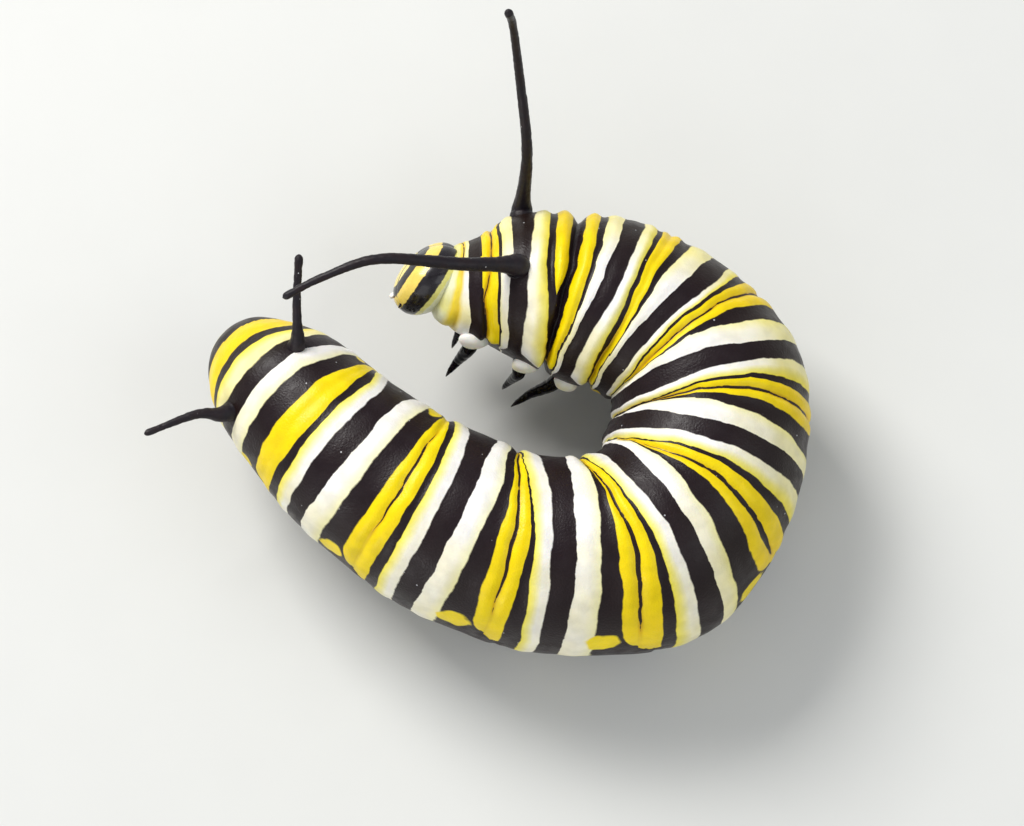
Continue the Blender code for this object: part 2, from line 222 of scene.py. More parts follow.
def tube(path: np.ndarray, radii: np.ndarray, first: np.ndarray, around: int,
         flatness: float = 1.0) -> np.ndarray:
    """Rings square to a path, carried along it without twist.

    Args:
        path: The middle line's points.
        radii: A radius for each point.
        first: The way to each ring's first point, which is kept as far as the path lets it.
        around: Points in a ring.
        flatness: The share of the radius that the rings have that way.

    Returns:
        Rings x around x 3.
    """
    turns = circle(around)
    rings = []
    for centre, axis, radius in zip(path, unit(np.gradient(path, axis=0)), radii):
        first = unit(first - axis * first.dot(axis))
        second = np.cross(axis, first)
        rings.append(centre + first * (radius * flatness * np.cos(turns))[:, None]
                     + second * (radius * np.sin(turns))[:, None])
    return np.array(rings)


def stacked_rings(path: np.ndarray, ways: tuple, across: np.ndarray, deep: np.ndarray,
                  around: int) -> np.ndarray:
    """Oval rings that all lie in the same two ways.

    Args:
        path: The rings' middles.
        ways: The two ways, of length one.
        across: Half sizes along the first way, one for each ring.
        deep: Half sizes along the second way.
        around: Points in a ring.

    Returns:
        Rings x around x 3.
    """
    turns = circle(around)
    return (path[:, None] + ways[0] * (across[:, None] * np.cos(turns))[..., None]
            + ways[1] * (deep[:, None] * np.sin(turns))[..., None])


def egg(centre: np.ndarray, ways: tuple, sizes: tuple, counts: tuple, margin: float,
        power: float = 1.0) -> np.ndarray:
    """Rings of an egg-shaped lump, from pole to pole.

    Args:
        centre: Its middle.
        ways: The way from pole to pole, and the two ways across it.
        sizes: Half sizes along those three.
        counts: Rings, and points in a ring.
        margin: Radians left out at each pole.
        power: Below 1 makes it blunter, above 1 more pointed.

    Returns:
        Rings x around x 3.
    """
    polar = np.linspace(margin, math.pi - margin, counts[0])
    waist = np.sin(polar) ** power
    path = centre + np.outer(sizes[0] * np.cos(polar), ways[0])
    return stacked_rings(path, ways[1:], sizes[1] * waist, sizes[2] * waist, counts[1])


@dataclass
class MeshPlan:
    """The points, faces, face maps and vertex values of one mesh, gathered before it is made."""

    points: list = field(default_factory=list)
    faces: list = field(default_factory=list)
    maps: list = field(default_factory=list)
    values: dict = field(default_factory=dict)
    count: int = 0

    def add_grid(self, grid: np.ndarray, values: dict, start: np.ndarray | None = None,
                 end: np.ndarray | None = None, place: tuple = (0.0, 0.0, 1.0, 1.0)) -> "MeshPlan":
        """Adds a tube of rings, closed by a point at each end.

        Args:
            grid: Rings of points, rings x around x 3.
            values: Vertex values, each one value or rings x around.
            start: The point that closes the first ring, or else the ring's middle.
            end: The point that closes the last ring, or else the ring's middle.
            place: The tube's rectangle on the atlas: left, bottom, width and height.

        Returns:
            The plan itself.
        """
        rings, around = grid.shape[:2]
        index = self.count + np.arange(rings * around).reshape(rings, around)
        following = np.roll(index, -1, 1)
        quads = np.stack([index[:-1], following[:-1], following[1:], index[1:]], -1).reshape(-1, 4)
        left, bottom, width, height = place
        u = left + width * np.arange(around + 1) / around
        v = bottom + height * (0.02 + 0.96 * np.arange(rings) / max(rings - 1, 1))
        i, j = np.meshgrid(np.arange(rings - 1), np.arange(around), indexing="ij")
        corners = [np.stack([u[j + right], v[i + up]], -1) for right, up in ((0, 0), (1, 0), (1, 1), (0, 1))]
        self.points.append(grid.reshape(-1, 3))
        self.faces.extend(quads.tolist())
        self.maps.append(np.stack(corners, 2).reshape(-1, 2))
        self.count += rings * around
        for point, ring, far in ((start, 0, bottom), (end, rings - 1, bottom + height)):
            point = grid[ring].mean(0) if point is None else point
            self.points.append(np.asarray(point, float).reshape(1, 3))
            for k in range(around):
                sides = [(int(index[ring, k]), u[k]), (int(following[ring, k]), u[k + 1])]
                if ring == 0:
                    sides.reverse()
                self.faces.append([sides[0][0], sides[1][0], self.count])
                middle = (u[k] + u[k + 1]) / 2
                self.maps.append(np.array([[sides[0][1], v[ring]], [sides[1][1], v[ring]], [middle, far]]))
            self.count += 1
        for name, value in values.items():
            value = np.broadcast_to(np.asarray(value, float), (rings, around))
            ends = [value[0].mean(), value[-1].mean()]
            self.values.setdefault(name, []).append(np.concatenate([value.ravel(), ends]))
        return self

    def make(self, name: str) -> bpy.types.Object:
        """Makes the object, in metres, facing outwards and smooth.

        Args:
            name: The piece's name.

        Returns:
            The object, in the scene.
        """
        mesh = bpy.data.meshes.new(name)
        mesh.from_pydata((np.vstack(self.points) * MM).tolist(), [], self.faces)
        layer = mesh.uv_layers.new(name=ATLAS)
        layer.data.foreach_set("uv", np.vstack(self.maps).astype(np.float32).ravel())
        for key, parts in self.values.items():
            attribute = mesh.attributes.new(key, "FLOAT", "POINT")
            attribute.data.foreach_set("value", np.concatenate(parts).astype(np.float32))
        if self.signed_volume() < 0:
            mesh.flip_normals()
        mesh.shade_smooth()
        mesh.update()
        made = bpy.data.objects.new(name, mesh)
        bpy.context.scene.collection.objects.link(made)
        return made

    def signed_volume(self) -> float:
        """The enclosed volume.

        Returns:
            Cubic millimetres, below nought where the faces turn inwards.
        """
        points = np.vstack(self.points)
        total = 0.0
        for size in (3, 4):
            faces = np.array([f for f in self.faces if len(f) == size])
            for k in range(1, size - 1):
                a, b, c = points[faces[:, 0]], points[faces[:, k]], points[faces[:, k + 1]]
                total += float(np.einsum("ij,ij->i", a, np.cross(b, c)).sum()) / 6
        return total


def seat(made: bpy.types.Object, material: bpy.types.Material, nodes: tuple = ()) -> None:
    """Dresses a piece and puts it on the body.

    Args:
        made: The piece.
        material: Its finish.
        nodes: The CAD nodes that the piece stands for.
    """
    made.data.materials.append(material)
    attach(made, BODY)
    if nodes:
        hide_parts(*nodes)
    LOG.info("%s: %d faces", made.name, len(made.data.polygons))


# The body's curve


@dataclass(frozen=True)
class BodyCurve:
    """The body's middle line, from the neck to the tail's tip.

    Each station is x, y, z, half width, heading, pitch and lean, in millimetres and degrees.
    """

    stations: tuple = (
        (-2.45, 4.80, 5.20, 1.55, 168, 18, 34),
        (-1.32, 4.50, 5.20, 2.00, 180, 4, 34),
        (0.35, 4.50, 5.30, 2.85, 178, 2, 34),
        (3.17, 4.02, 5.10, 3.35, 158, 7, 31),
        (5.40, 3.12, 4.80, 3.38, 139, 4, 28),
        (7.12, 1.30, 4.50, 3.66, 107, 3, 25),
        (7.12, -1.56, 4.40, 3.74, 77, 0, 15),
        (5.30, -4.82, 4.40, 3.88, 32, -1, 8),
        (1.32, -5.45, 4.60, 3.60, 0, -7, 6),
        (-2.56, -4.20, 4.90, 3.47, -24, -7, 8),
        (-6.00, -1.82, 5.10, 3.10, -39, -3, 13),
        (-8.41, 0.80, 4.85, 2.64, -52, 10, 18),
        (-9.38, 1.74, 4.25, 2.18, -48, 20, 18),
        (-10.00, 2.42, 3.60, 1.70, -43, 26, 16),
        (-10.62, 3.08, 2.90, 1.15, -42, 28, 14),
    )
    belly_height: float = 0.86
    tail_start: float = 12.9
    tail_end: float = 14.0
    tail_width: float = 0.30

    def axes(self, t: np.ndarray) -> tuple:
        """The centre, forward, left and back of the body.

        Args:
            t: Places along the body, in stations.

        Returns:
            Four arrays with a row per place, and the half widths.
        """
        rows = smooth_curve(np.array(self.stations, float), t)
        heading, pitch, lean = np.radians(rows[:, 4:7]).T
        level = np.cos(pitch)
        forward = np.stack([np.cos(heading) * level, np.sin(heading) * level, np.sin(pitch)], 1)
        flat_left = np.stack([-np.sin(heading), np.cos(heading), np.zeros_like(heading)], 1)
        upright = np.cross(forward, flat_left)
        turn, hold = np.sin(lean)[:, None], np.cos(lean)[:, None]
        left, back = flat_left * hold + upright * turn, upright * hold - flat_left * turn
        past = rise(np.atleast_1d(t), self.tail_start, self.tail_end - self.tail_start)
        width = rows[:, 3] * (self.tail_width + (1 - self.tail_width) * np.sqrt(1 - past * past))
        width = np.where(past > 0, width, rows[:, 3])
        return rows[:, :3] - ORIGIN, forward, left, back, width

    def surface(self, t: np.ndarray, around: np.ndarray, share: float = 1.0, off: float = 0.0) -> np.ndarray:
        """Points of the body's plain surface.

        Args:
            t: Places along the body.
            around: Degrees from the back's middle towards the left, one per place or a row of them.
            share: The half width's share.
            off: Millimetres outwards from there.

        Returns:
            Points, places x angles x 3, or places x 3 where both have one value per place.
        """
        t, around = np.atleast_1d(np.asarray(t, float)), np.asarray(around, float)
        centre, _, left, back, width = self.axes(t)
        angle = np.radians(around)
        if angle.shape != t.shape:
            angle = np.broadcast_to(angle, (len(t), angle.size))
            centre, left, back, width = centre[:, None], left[:, None], back[:, None], width[:, None]
        height = np.where(np.cos(angle) > 0, 1.0, self.belly_height)
        out = left * np.sin(angle)[..., None] + back * (np.cos(angle) * height)[..., None]
        return centre + out * width[..., None] * share + unit(out) * off

    def point(self, t: float, around: float, share: float = 1.0, off: float = 0.0) -> np.ndarray:
        """One point of the plain surface."""
        return self.surface(np.array([t]), np.array([around]), share, off)[0]

    def normal(self, t: float, around: float) -> np.ndarray:
        """Straight out of the plain surface."""
        return unit(self.point(t, around, off=1.0) - self.point(t, around))

    def forward(self, t: float) -> np.ndarray:
        """The way to the head."""
        return self.axes(np.array([t]))[1][0]


CURVE = BodyCurve()


# The bands


@dataclass(frozen=True)
class BandTable:
    """Where the bands' edges lie on the body.

    Each row belongs to one segment. It holds, for each of the five angles in columns, the ends
    of the centre black, white, thin black, yellow, fold line, yellow, wide black and white
    bands, in hundredths of a station after the segment's middle.
    """

    columns: tuple = (-45.0, 0.0, 30.0, 60.0, 88.0)
    rows: tuple = (
        ((-120, -2, -2, 16, 20, 20, 20, 66), (-120, -2, -2, 12, 16, 16, 16, 42),
         (-120, -2, -2, 17, 18, 18, 18, 50), (-120, 4, 4, 27, 27, 27, 27, 62),
         (-120, 10, 10, 36, 36, 36, 36, 78)),
        ((10, 12, 12, 38, 41, 55, 60, 82), (5, 5, 5, 33, 36, 52, 57, 80),
         (5, 5, 5, 30, 32, 52, 56, 80), (10, 10, 10, 10, 12, 47, 52, 72),
         (22, 22, 22, 22, 24, 55, 57, 74)),
        ((15, 28, 34, 49, 60, 71, 77, 92), (11, 28, 34, 48, 60, 72, 78, 92),
         (7, 29, 37, 51, 60, 74, 78, 91), (7, 37, 49, 49, 55, 74, 75, 84),
         (3, 47, 50, 50, 52, 66, 68, 76)),
        ((13, 28, 35, 45, 45, 58, 72, 96), (13, 30, 36, 45, 45, 56, 68, 97),
         (15, 33, 40, 48, 48, 57, 65, 90), (10, 42, 55, 58, 58, 70, 70, 84),
         (4, 45, 50, 50, 50, 65, 66, 80)),
        ((15, 25, 34, 46, 48, 63, 79, 99), (20, 27, 31, 40, 42, 53, 70, 95),
         (18, 28, 31, 42, 44, 52, 57, 87), (21, 36, 40, 49, 50, 58, 59, 79),
         (30, 53, 55, 55, 55, 56, 57, 83)),
        ((18, 38, 47, 58, 60, 72, 88, 100), (15, 31, 35, 45, 48, 57, 72, 93),
         (20, 37, 40, 47, 50, 54, 61, 88), (35, 54, 55, 55, 56, 56, 57, 79),
         (45, 56, 58, 58, 59, 59, 60, 70)),
        ((14, 28, 35, 46, 50, 61, 78, 90), (12, 24, 28, 36, 39, 46, 65, 82),
         (12, 30, 32, 42, 43, 47, 52, 77), (25, 47, 48, 49, 50, 50, 51, 70),
         (43, 53, 55, 55, 55, 55, 56, 84)),
        ((7, 22, 30, 43, 45, 56, 72, 91), (0, 16, 22, 34, 38, 50, 65, 86),
         (7, 26, 28, 41, 44, 47, 57, 85), (20, 49, 50, 56, 57, 57, 58, 82),
         (34, 50, 55, 56, 56, 57, 60, 78)),
        ((8, 21, 31, 42, 43, 54, 74, 92), (7, 23, 27, 39, 42, 53, 68, 87),
         (10, 32, 33, 43, 45, 51, 61, 86), (20, 46, 46, 50, 52, 54, 64, 84),
         (32, 46, 50, 50, 50, 52, 60, 78)),
        ((9, 23, 31, 43, 43, 55, 75, 93), (7, 22, 28, 39, 41, 53, 72, 90),
         (7, 24, 29, 41, 43, 51, 70, 89), (11, 28, 35, 41, 41, 48, 67, 87),
         (22, 38, 42, 42, 42, 44, 60, 78)),
        ((10, 23, 31, 40, 40, 50, 69, 88), (11, 25, 30, 41, 41, 53, 72, 90),
         (10, 25, 31, 41, 41, 54, 73, 93), (9, 23, 33, 41, 41, 49, 68, 87),
         (18, 34, 38, 40, 40, 44, 62, 80)),
        ((13, 50, 82, 178, 178, 178, 245, 250), (15, 67, 97, 172, 172, 172, 245, 250),
         (20, 58, 88, 162, 162, 162, 245, 250), (10, 35, 60, 136, 136, 136, 240, 246),
         (15, 35, 60, 110, 110, 110, 215, 218)),
    )
    first_place: float = -1.5
    last_black: float = 15.0
    front_angle: float = 80.0
    flank_angle: float = 107.0
    belly_angle: float = 116.0
    flank_shares: tuple = (0.4, 0.5)
    rear_yellow_ends: tuple = (-54.0, -74.0)
    front_yellow_ends: tuple = (-70.0, -86.0)
    second_yellow_ends: tuple = (36.0, 50.0)

    def table(self) -> tuple:
        """The edges at every column, and the columns' angles.

        Returns:
            The angles from -180 to 180, and the edges as angles x rows x 8.
        """
        numbers = np.arange(len(self.rows))
        edges = ((np.array(self.rows, float) + 100 * numbers[:, None, None]) / 100).transpose(1, 0, 2)
        trend = (edges[0] - edges[1]) * (numbers > 0)[:, None]
        right, low = (np.maximum.accumulate(edges[0] + share * trend, 1) for share in self.flank_shares)
        closed = []
        for column in (low, edges[-1]):
            shut = column.copy()
            shut[1:, 0], shut[1:, 7] = column[1:, 1], column[1:, 6]
            shut[1:, 3:6] = column[1:, 2:3]
            closed.append(shut)
        belly = (closed[0] + closed[1]) / 2
        angles = [-180.0, -self.belly_angle, -self.flank_angle, -self.front_angle, *self.columns,
                  self.flank_angle, self.belly_angle, 180.0]
        return np.array(angles), np.array([belly, closed[0], low, right, *edges, edges[-1], closed[1], belly])

    def edges_at(self, around: np.ndarray) -> np.ndarray:
        """The edges for each angle round the body.

        Args:
            around: The angles.

        Returns:
            The edges, as angles x rows x 8.
        """
        angles, stack = self.table()
        flat = stack.reshape(len(angles), -1)
        turned = (np.asarray(around, float) + 180) % 360 - 180
        found = np.stack([np.interp(turned, angles, flat[:, k]) for k in range(flat.shape[1])], 1)
        found = found.reshape(len(turned), len(self.rows), ZONES)
        rear = self.closing(turned, *self.rear_yellow_ends)
        front = self.closing(turned, *self.front_yellow_ends)
        found[:, 1:-1, 5] = found[:, 1:-1, 4] + (found[:, 1:-1, 5] - found[:, 1:-1, 4]) * rear
        found[:, 1:-1, 4] = found[:, 1:-1, 3] + (found[:, 1:-1, 4] - found[:, 1:-1, 3]) * rear
        start = found[:, 1:-1, 2:3]
        found[:, 1:-1, 3:6] = start + (found[:, 1:-1, 3:6] - start) * front[..., None]
        second = self.closing(turned, *self.second_yellow_ends)[:, 0]
        found[:, 2, 3] = found[:, 2, 2] + (found[:, 2, 3] - found[:, 2, 2]) * second
        return np.maximum.accumulate(found.reshape(len(turned), -1), 1).reshape(found.shape)

    @staticmethod
    def closing(turned: np.ndarray, full: float, shut: float) -> np.ndarray:
        """A rounded end: a column of shares, 1 up to the full angle and 0 from the shut one on."""
        return np.sqrt(1 - rise(turned, full, shut - full) ** 2)[:, None]

    def read(self, t: np.ndarray, edges: np.ndarray) -> np.ndarray:
        """The band coordinate, 8 for each row plus the zone and the share of it gone by.

        Args:
            t: Places, rings x around.
            edges: What edges_at gives for each angle.

        Returns:
            The coordinate of each place.
        """
        knots = np.arange(edges.shape[1] * ZONES) + 1.0
        found = np.zeros_like(t)
        for k in range(t.shape[1]):
            row = np.concatenate([[self.first_place], edges[k].ravel() + 1e-6 * knots, [self.last_black]])
            found[:, k] = np.interp(t[:, k], row, np.concatenate([[0.0], knots, [knots[-1] + 0.9]]))
        return found


# Finishes


class Nodes:
    """A short way to lay out shader nodes."""

    def __init__(self, tree: bpy.types.NodeTree) -> None:
        """Takes the tree that is filled."""
        self.tree = tree

    def add(self, kind: str, inputs: dict | None = None, **settings) -> bpy.types.Node:
        """Adds a node.

        Args:
            kind: Its type's name.
            inputs: Sockets by name or number, each a value or a socket to link from.
            settings: The node's own settings.

        Returns:
            The node.
        """
        node = self.tree.nodes.new(kind)
        for key, value in settings.items():
            setattr(node, key, value)
        for key, value in (inputs or {}).items():
            if isinstance(value, Socket):
                self.link(value, node, key)
            else:
                node.inputs[key].default_value = value
        return node

    def link(self, value: Socket, node: bpy.types.Node, key: str | int) -> None:
        """Links a value to a node's socket."""
        self.tree.links.new(value, node.inputs[key])

    def place(self) -> Socket:
        """The place on the object, in metres."""
        return self.add("ShaderNodeTexCoord").outputs["Object"]

    def attribute(self, name: str) -> Socket:
        """A vertex value of the mesh."""
        return self.add("ShaderNodeAttribute", attribute_name=name).outputs["Fac"]

    def math(self, operation: str, a: Value, b: Value = 0.0, c: Value = 0.0) -> Socket:
        """A Math node's result."""
        return self.add("ShaderNodeMath", {0: a, 1: b, 2: c}, operation=operation).outputs[0]

    def steps(self, value: Value, low: float, high: float, at_low: float = 0.0,
              at_high: float = 1.0) -> Socket:
        """A value carried smoothly from one range to another."""
        inputs = {0: value, 1: low, 2: high, 3: at_low, 4: at_high}
        return self.add("ShaderNodeMapRange", inputs, interpolation_type="SMOOTHSTEP").outputs[0]

    def noise(self, place: Socket, size_mm: float, detail: float = 2.0) -> Socket:
        """A Noise texture's value, with features of about that size."""
        inputs = {"Vector": place, "Scale": 1.0 / (size_mm * MM), "Detail": detail}
        return self.add("ShaderNodeTexNoise", inputs).outputs["Fac"]

    def patches(self, place: Socket, size_mm: float, span: tuple, given: tuple = (0.0, 1.0),
                detail: float = 2.0) -> Socket:
        """Noise stretched into patches.

        Args:
            place: Where the noise is read.
            size_mm: The patches' size.
            span: The noise values that are stretched.
            given: What they become.
            detail: How fine the patches' edges are.

        Returns:
            The stretched value.
        """
        return self.steps(self.noise(place, size_mm, detail), *span, *given)

    def jitter(self, place: Socket, size_mm: float, reach: float, detail: float = 2.0) -> Socket:
        """Noise round nought, that makes an edge ragged."""
        level = self.math("SUBTRACT", self.noise(place, size_mm, detail), 0.5)
        return self.math("MULTIPLY", level, reach)

    def mix(self, factor: Value, a: Colour, b: Colour, blend: str = "MIX") -> Socket:
        """Two colours mixed.

        Args:
            factor: How much the second colour counts.
            a: The first colour.
            b: The second colour.
            blend: How it counts.

        Returns:
            The mixed colour.
        """
        a, b = ((*colour, 1.0) if isinstance(colour, tuple) else colour for colour in (a, b))
        node = self.add("ShaderNodeMix", {0: factor, 6: a, 7: b}, data_type="RGBA", blend_type=blend)
        return node.outputs[2]

    def tint(self, amount: Value, colour: Colour, dye: tuple) -> Socket:
        """A colour with a dye over it: the cream tint, and painted shade in creases and round fold lines."""
        return self.mix(amount, colour, self.mix(1.0, colour, dye, "MULTIPLY"))

    def shade(self, colour: Colour, light: Socket) -> Socket:
        """A colour made lighter or darker by a value round 1."""
        grey = self.add("ShaderNodeCombineColor", {0: light, 1: light, 2: light}).outputs[0]
        return self.mix(1.0, colour, grey, "MULTIPLY")

    def ramp(self, value: Value, stops: list) -> Socket:
        """A colour ramp.

        Args:
            value: The place on the ramp.
            stops: Places from 0 to 1, each with its colour.

        Returns:
            The colour there.
        """
        node = self.add("ShaderNodeValToRGB", {0: value})
        elements = node.color_ramp.elements
        while len(elements) > 1:
            elements.remove(elements[-1])
        elements[0].position, elements[0].color = stops[0][0], (*stops[0][1], 1.0)
        for place, colour in stops[1:]:
            elements.new(place).color = (*colour, 1.0)
        return node.outputs[0]


def cuticle_grain() -> bpy.types.ShaderNodeTree:
    """The fine grain of living skin, and pale specks that are painted glints, for any finish.

    Returns:
        A node group with inputs for the grain's size and the painted glints' size in metres, and outputs for
        the height, the painted glints and the mottle.
    """
    name = "cuticle_grain"
    if name in bpy.data.node_groups:
        return bpy.data.node_groups[name]
    group = bpy.data.node_groups.new(name, "ShaderNodeTree")
    for label, size_mm in (("Grain Size", 0.06), ("Speck Size", 0.7)):
        socket = group.interface.new_socket(label, in_out="INPUT", socket_type="NodeSocketFloat")
        socket.default_value = size_mm * MM
    for label in ("Height", "Glint", "Mottle"):
        group.interface.new_socket(label, in_out="OUTPUT", socket_type="NodeSocketFloat")
    n = Nodes(group)
    given = n.add("NodeGroupInput")
    result = n.add("NodeGroupOutput")
    place = n.place()
    grain_scale = n.math("DIVIDE", 1.0, given.outputs["Grain Size"])
    glint_scale = n.math("DIVIDE", 1.0, given.outputs["Speck Size"])
    grain = n.add("ShaderNodeTexNoise", {"Vector": place, "Scale": grain_scale, "Detail": 3.0})
    cells = n.add("ShaderNodeTexVoronoi", {"Vector": place, "Scale": grain_scale}, feature="SMOOTH_F1")
    coarse_scale = n.math("MULTIPLY", grain_scale, 0.12)
    coarse = n.add("ShaderNodeTexNoise", {"Vector": place, "Scale": coarse_scale, "Detail": 2.0})
    painted_glints = n.add("ShaderNodeTexVoronoi", {"Vector": place, "Scale": glint_scale})
    near = n.steps(painted_glints.outputs["Distance"], 0.036, 0.066, 1.0, 0.0)
    pick = n.add("ShaderNodeSeparateColor", {0: painted_glints.outputs["Color"]}).outputs[0]
    chosen = n.steps(pick, 0.30, 0.40)
    height = n.math("MULTIPLY_ADD", cells.outputs["Distance"], 0.6, grain.outputs["Fac"])
    height = n.math("ADD", height, n.math("MULTIPLY", coarse.outputs["Fac"], 0.7))
    n.link(height, result, "Height")
    n.link(n.math("MULTIPLY", near, chosen), result, "Glint")
    n.link(coarse.outputs["Fac"], result, "Mottle")
    return group


@dataclass(frozen=True)
class Palette:
    """The colours of the animal and the floor as linear light, the dye that creams the white, and the dyes
    that paint shade into the creases and round the fold lines.
    """

    black: tuple = (0.0125, 0.0060, 0.0085)
    fold_brown: tuple = (0.020, 0.008, 0.005)
    glossy_black: tuple = (0.0080, 0.0055, 0.0095)
    jet: tuple = (0.002, 0.002, 0.0025)
    amber: tuple = (0.022, 0.009, 0.004)
    yellow: tuple = (0.870, 0.670, 0.001)
    pale_yellow: tuple = (0.860, 0.800, 0.300)
    lemon: tuple = (0.880, 0.780, 0.090)
    cream: tuple = (0.880, 0.850, 0.560)
    white: tuple = (0.880, 0.860, 0.830)
    head_yellow: tuple = (0.880, 0.660, 0.130)
    face_yellow: tuple = (0.860, 0.720, 0.220)
    neck_pale: tuple = (0.770, 0.780, 0.580)
    neck_fold: tuple = (0.850, 0.680, 0.080)
    neck_yellow: tuple = (0.820, 0.780, 0.250)
    # Painted highlight: the pale grey of the specks that stand in for glints of light.
    painted_glint: tuple = (0.600, 0.600, 0.620)
    floor: tuple = (0.700, 0.705, 0.690)
    cream_dye: tuple = (0.97, 0.90, 0.42)
    # Painted shade: the next two dyes darken the skin in the creases and round the fold lines.
    crease_shade_dye: tuple = (0.60, 0.42, 0.30)
    fold_shade_dye: tuple = (0.86, 0.62, 0.30)


PALETTE = Palette()


@dataclass(frozen=True)
class Finish:
    """What every finish of the animal shares: fine grain, relief and uneven roughness."""

    name: str = "skin"
    roughness: float = 0.38
    wetter: float = 0.06
    drier: float = 0.08
    rough_mm: float = 0.3
    rough_span: tuple = (0.3, 0.7)
    specular: float = 0.5
    coat: float = 0.0
    coat_roughness: float = 0.2
    flesh: float = 0.0
    flesh_mm: float = 0.5
    flesh_spread: tuple = (1.0, 0.2, 0.1)
    grain_mm: float = 0.05
    glint_mm: float = 0.5
    bump: float = 0.15
    relief_mm: float = 0.010

    def constants(self) -> dict:
        """The values of the shader's own sockets.

        Returns:
            Each by its socket's name.
        """
        values = {"Roughness": self.roughness, "Specular IOR Level": self.specular, "Coat Weight": self.coat,
                  "Coat Roughness": self.coat_roughness}
        if self.flesh:
            values |= {"Subsurface Weight": self.flesh, "Subsurface Scale": self.flesh_mm * MM,
                       "Subsurface Radius": self.flesh_spread}
        return values

    def paint(self, n: Nodes, place: Socket, grain: bpy.types.Node) -> tuple:
        """Lays out the colour.

        Args:
            n: The material's nodes.
            place: The place on the object.
            grain: The grain group.

        Returns:
            The colour, and what is added to the roughness, or None.
        """
        raise NotImplementedError

    def make(self) -> bpy.types.Material:
        """Builds the material.

        Returns:
            The material.
        """
        material = bpy.data.materials.new(self.name)
        material.use_nodes = True
        shader = material.node_tree.nodes["Principled BSDF"]
        for key, value in self.constants().items():
            shader.inputs[key].default_value = value
        n = Nodes(material.node_tree)
        place = n.place()
        grain = n.add("ShaderNodeGroup", node_tree=cuticle_grain())
        grain.inputs["Grain Size"].default_value = self.grain_mm * MM
        grain.inputs["Speck Size"].default_value = self.glint_mm * MM
        colour, added = self.paint(n, place, grain)
        n.link(colour, shader, "Base Color")
        around = (self.roughness - self.wetter, self.roughness + self.drier)
        rough = n.patches(place, self.rough_mm, self.rough_span, around)
        n.link(rough if added is None else n.math("ADD", rough, added), shader, "Roughness")
        height = grain.outputs["Height"]
        bump = {"Strength": self.bump, "Distance": self.relief_mm * MM, "Height": height}
        n.link(n.add("ShaderNodeBump", bump).outputs[0], shader, "Normal")
        return material


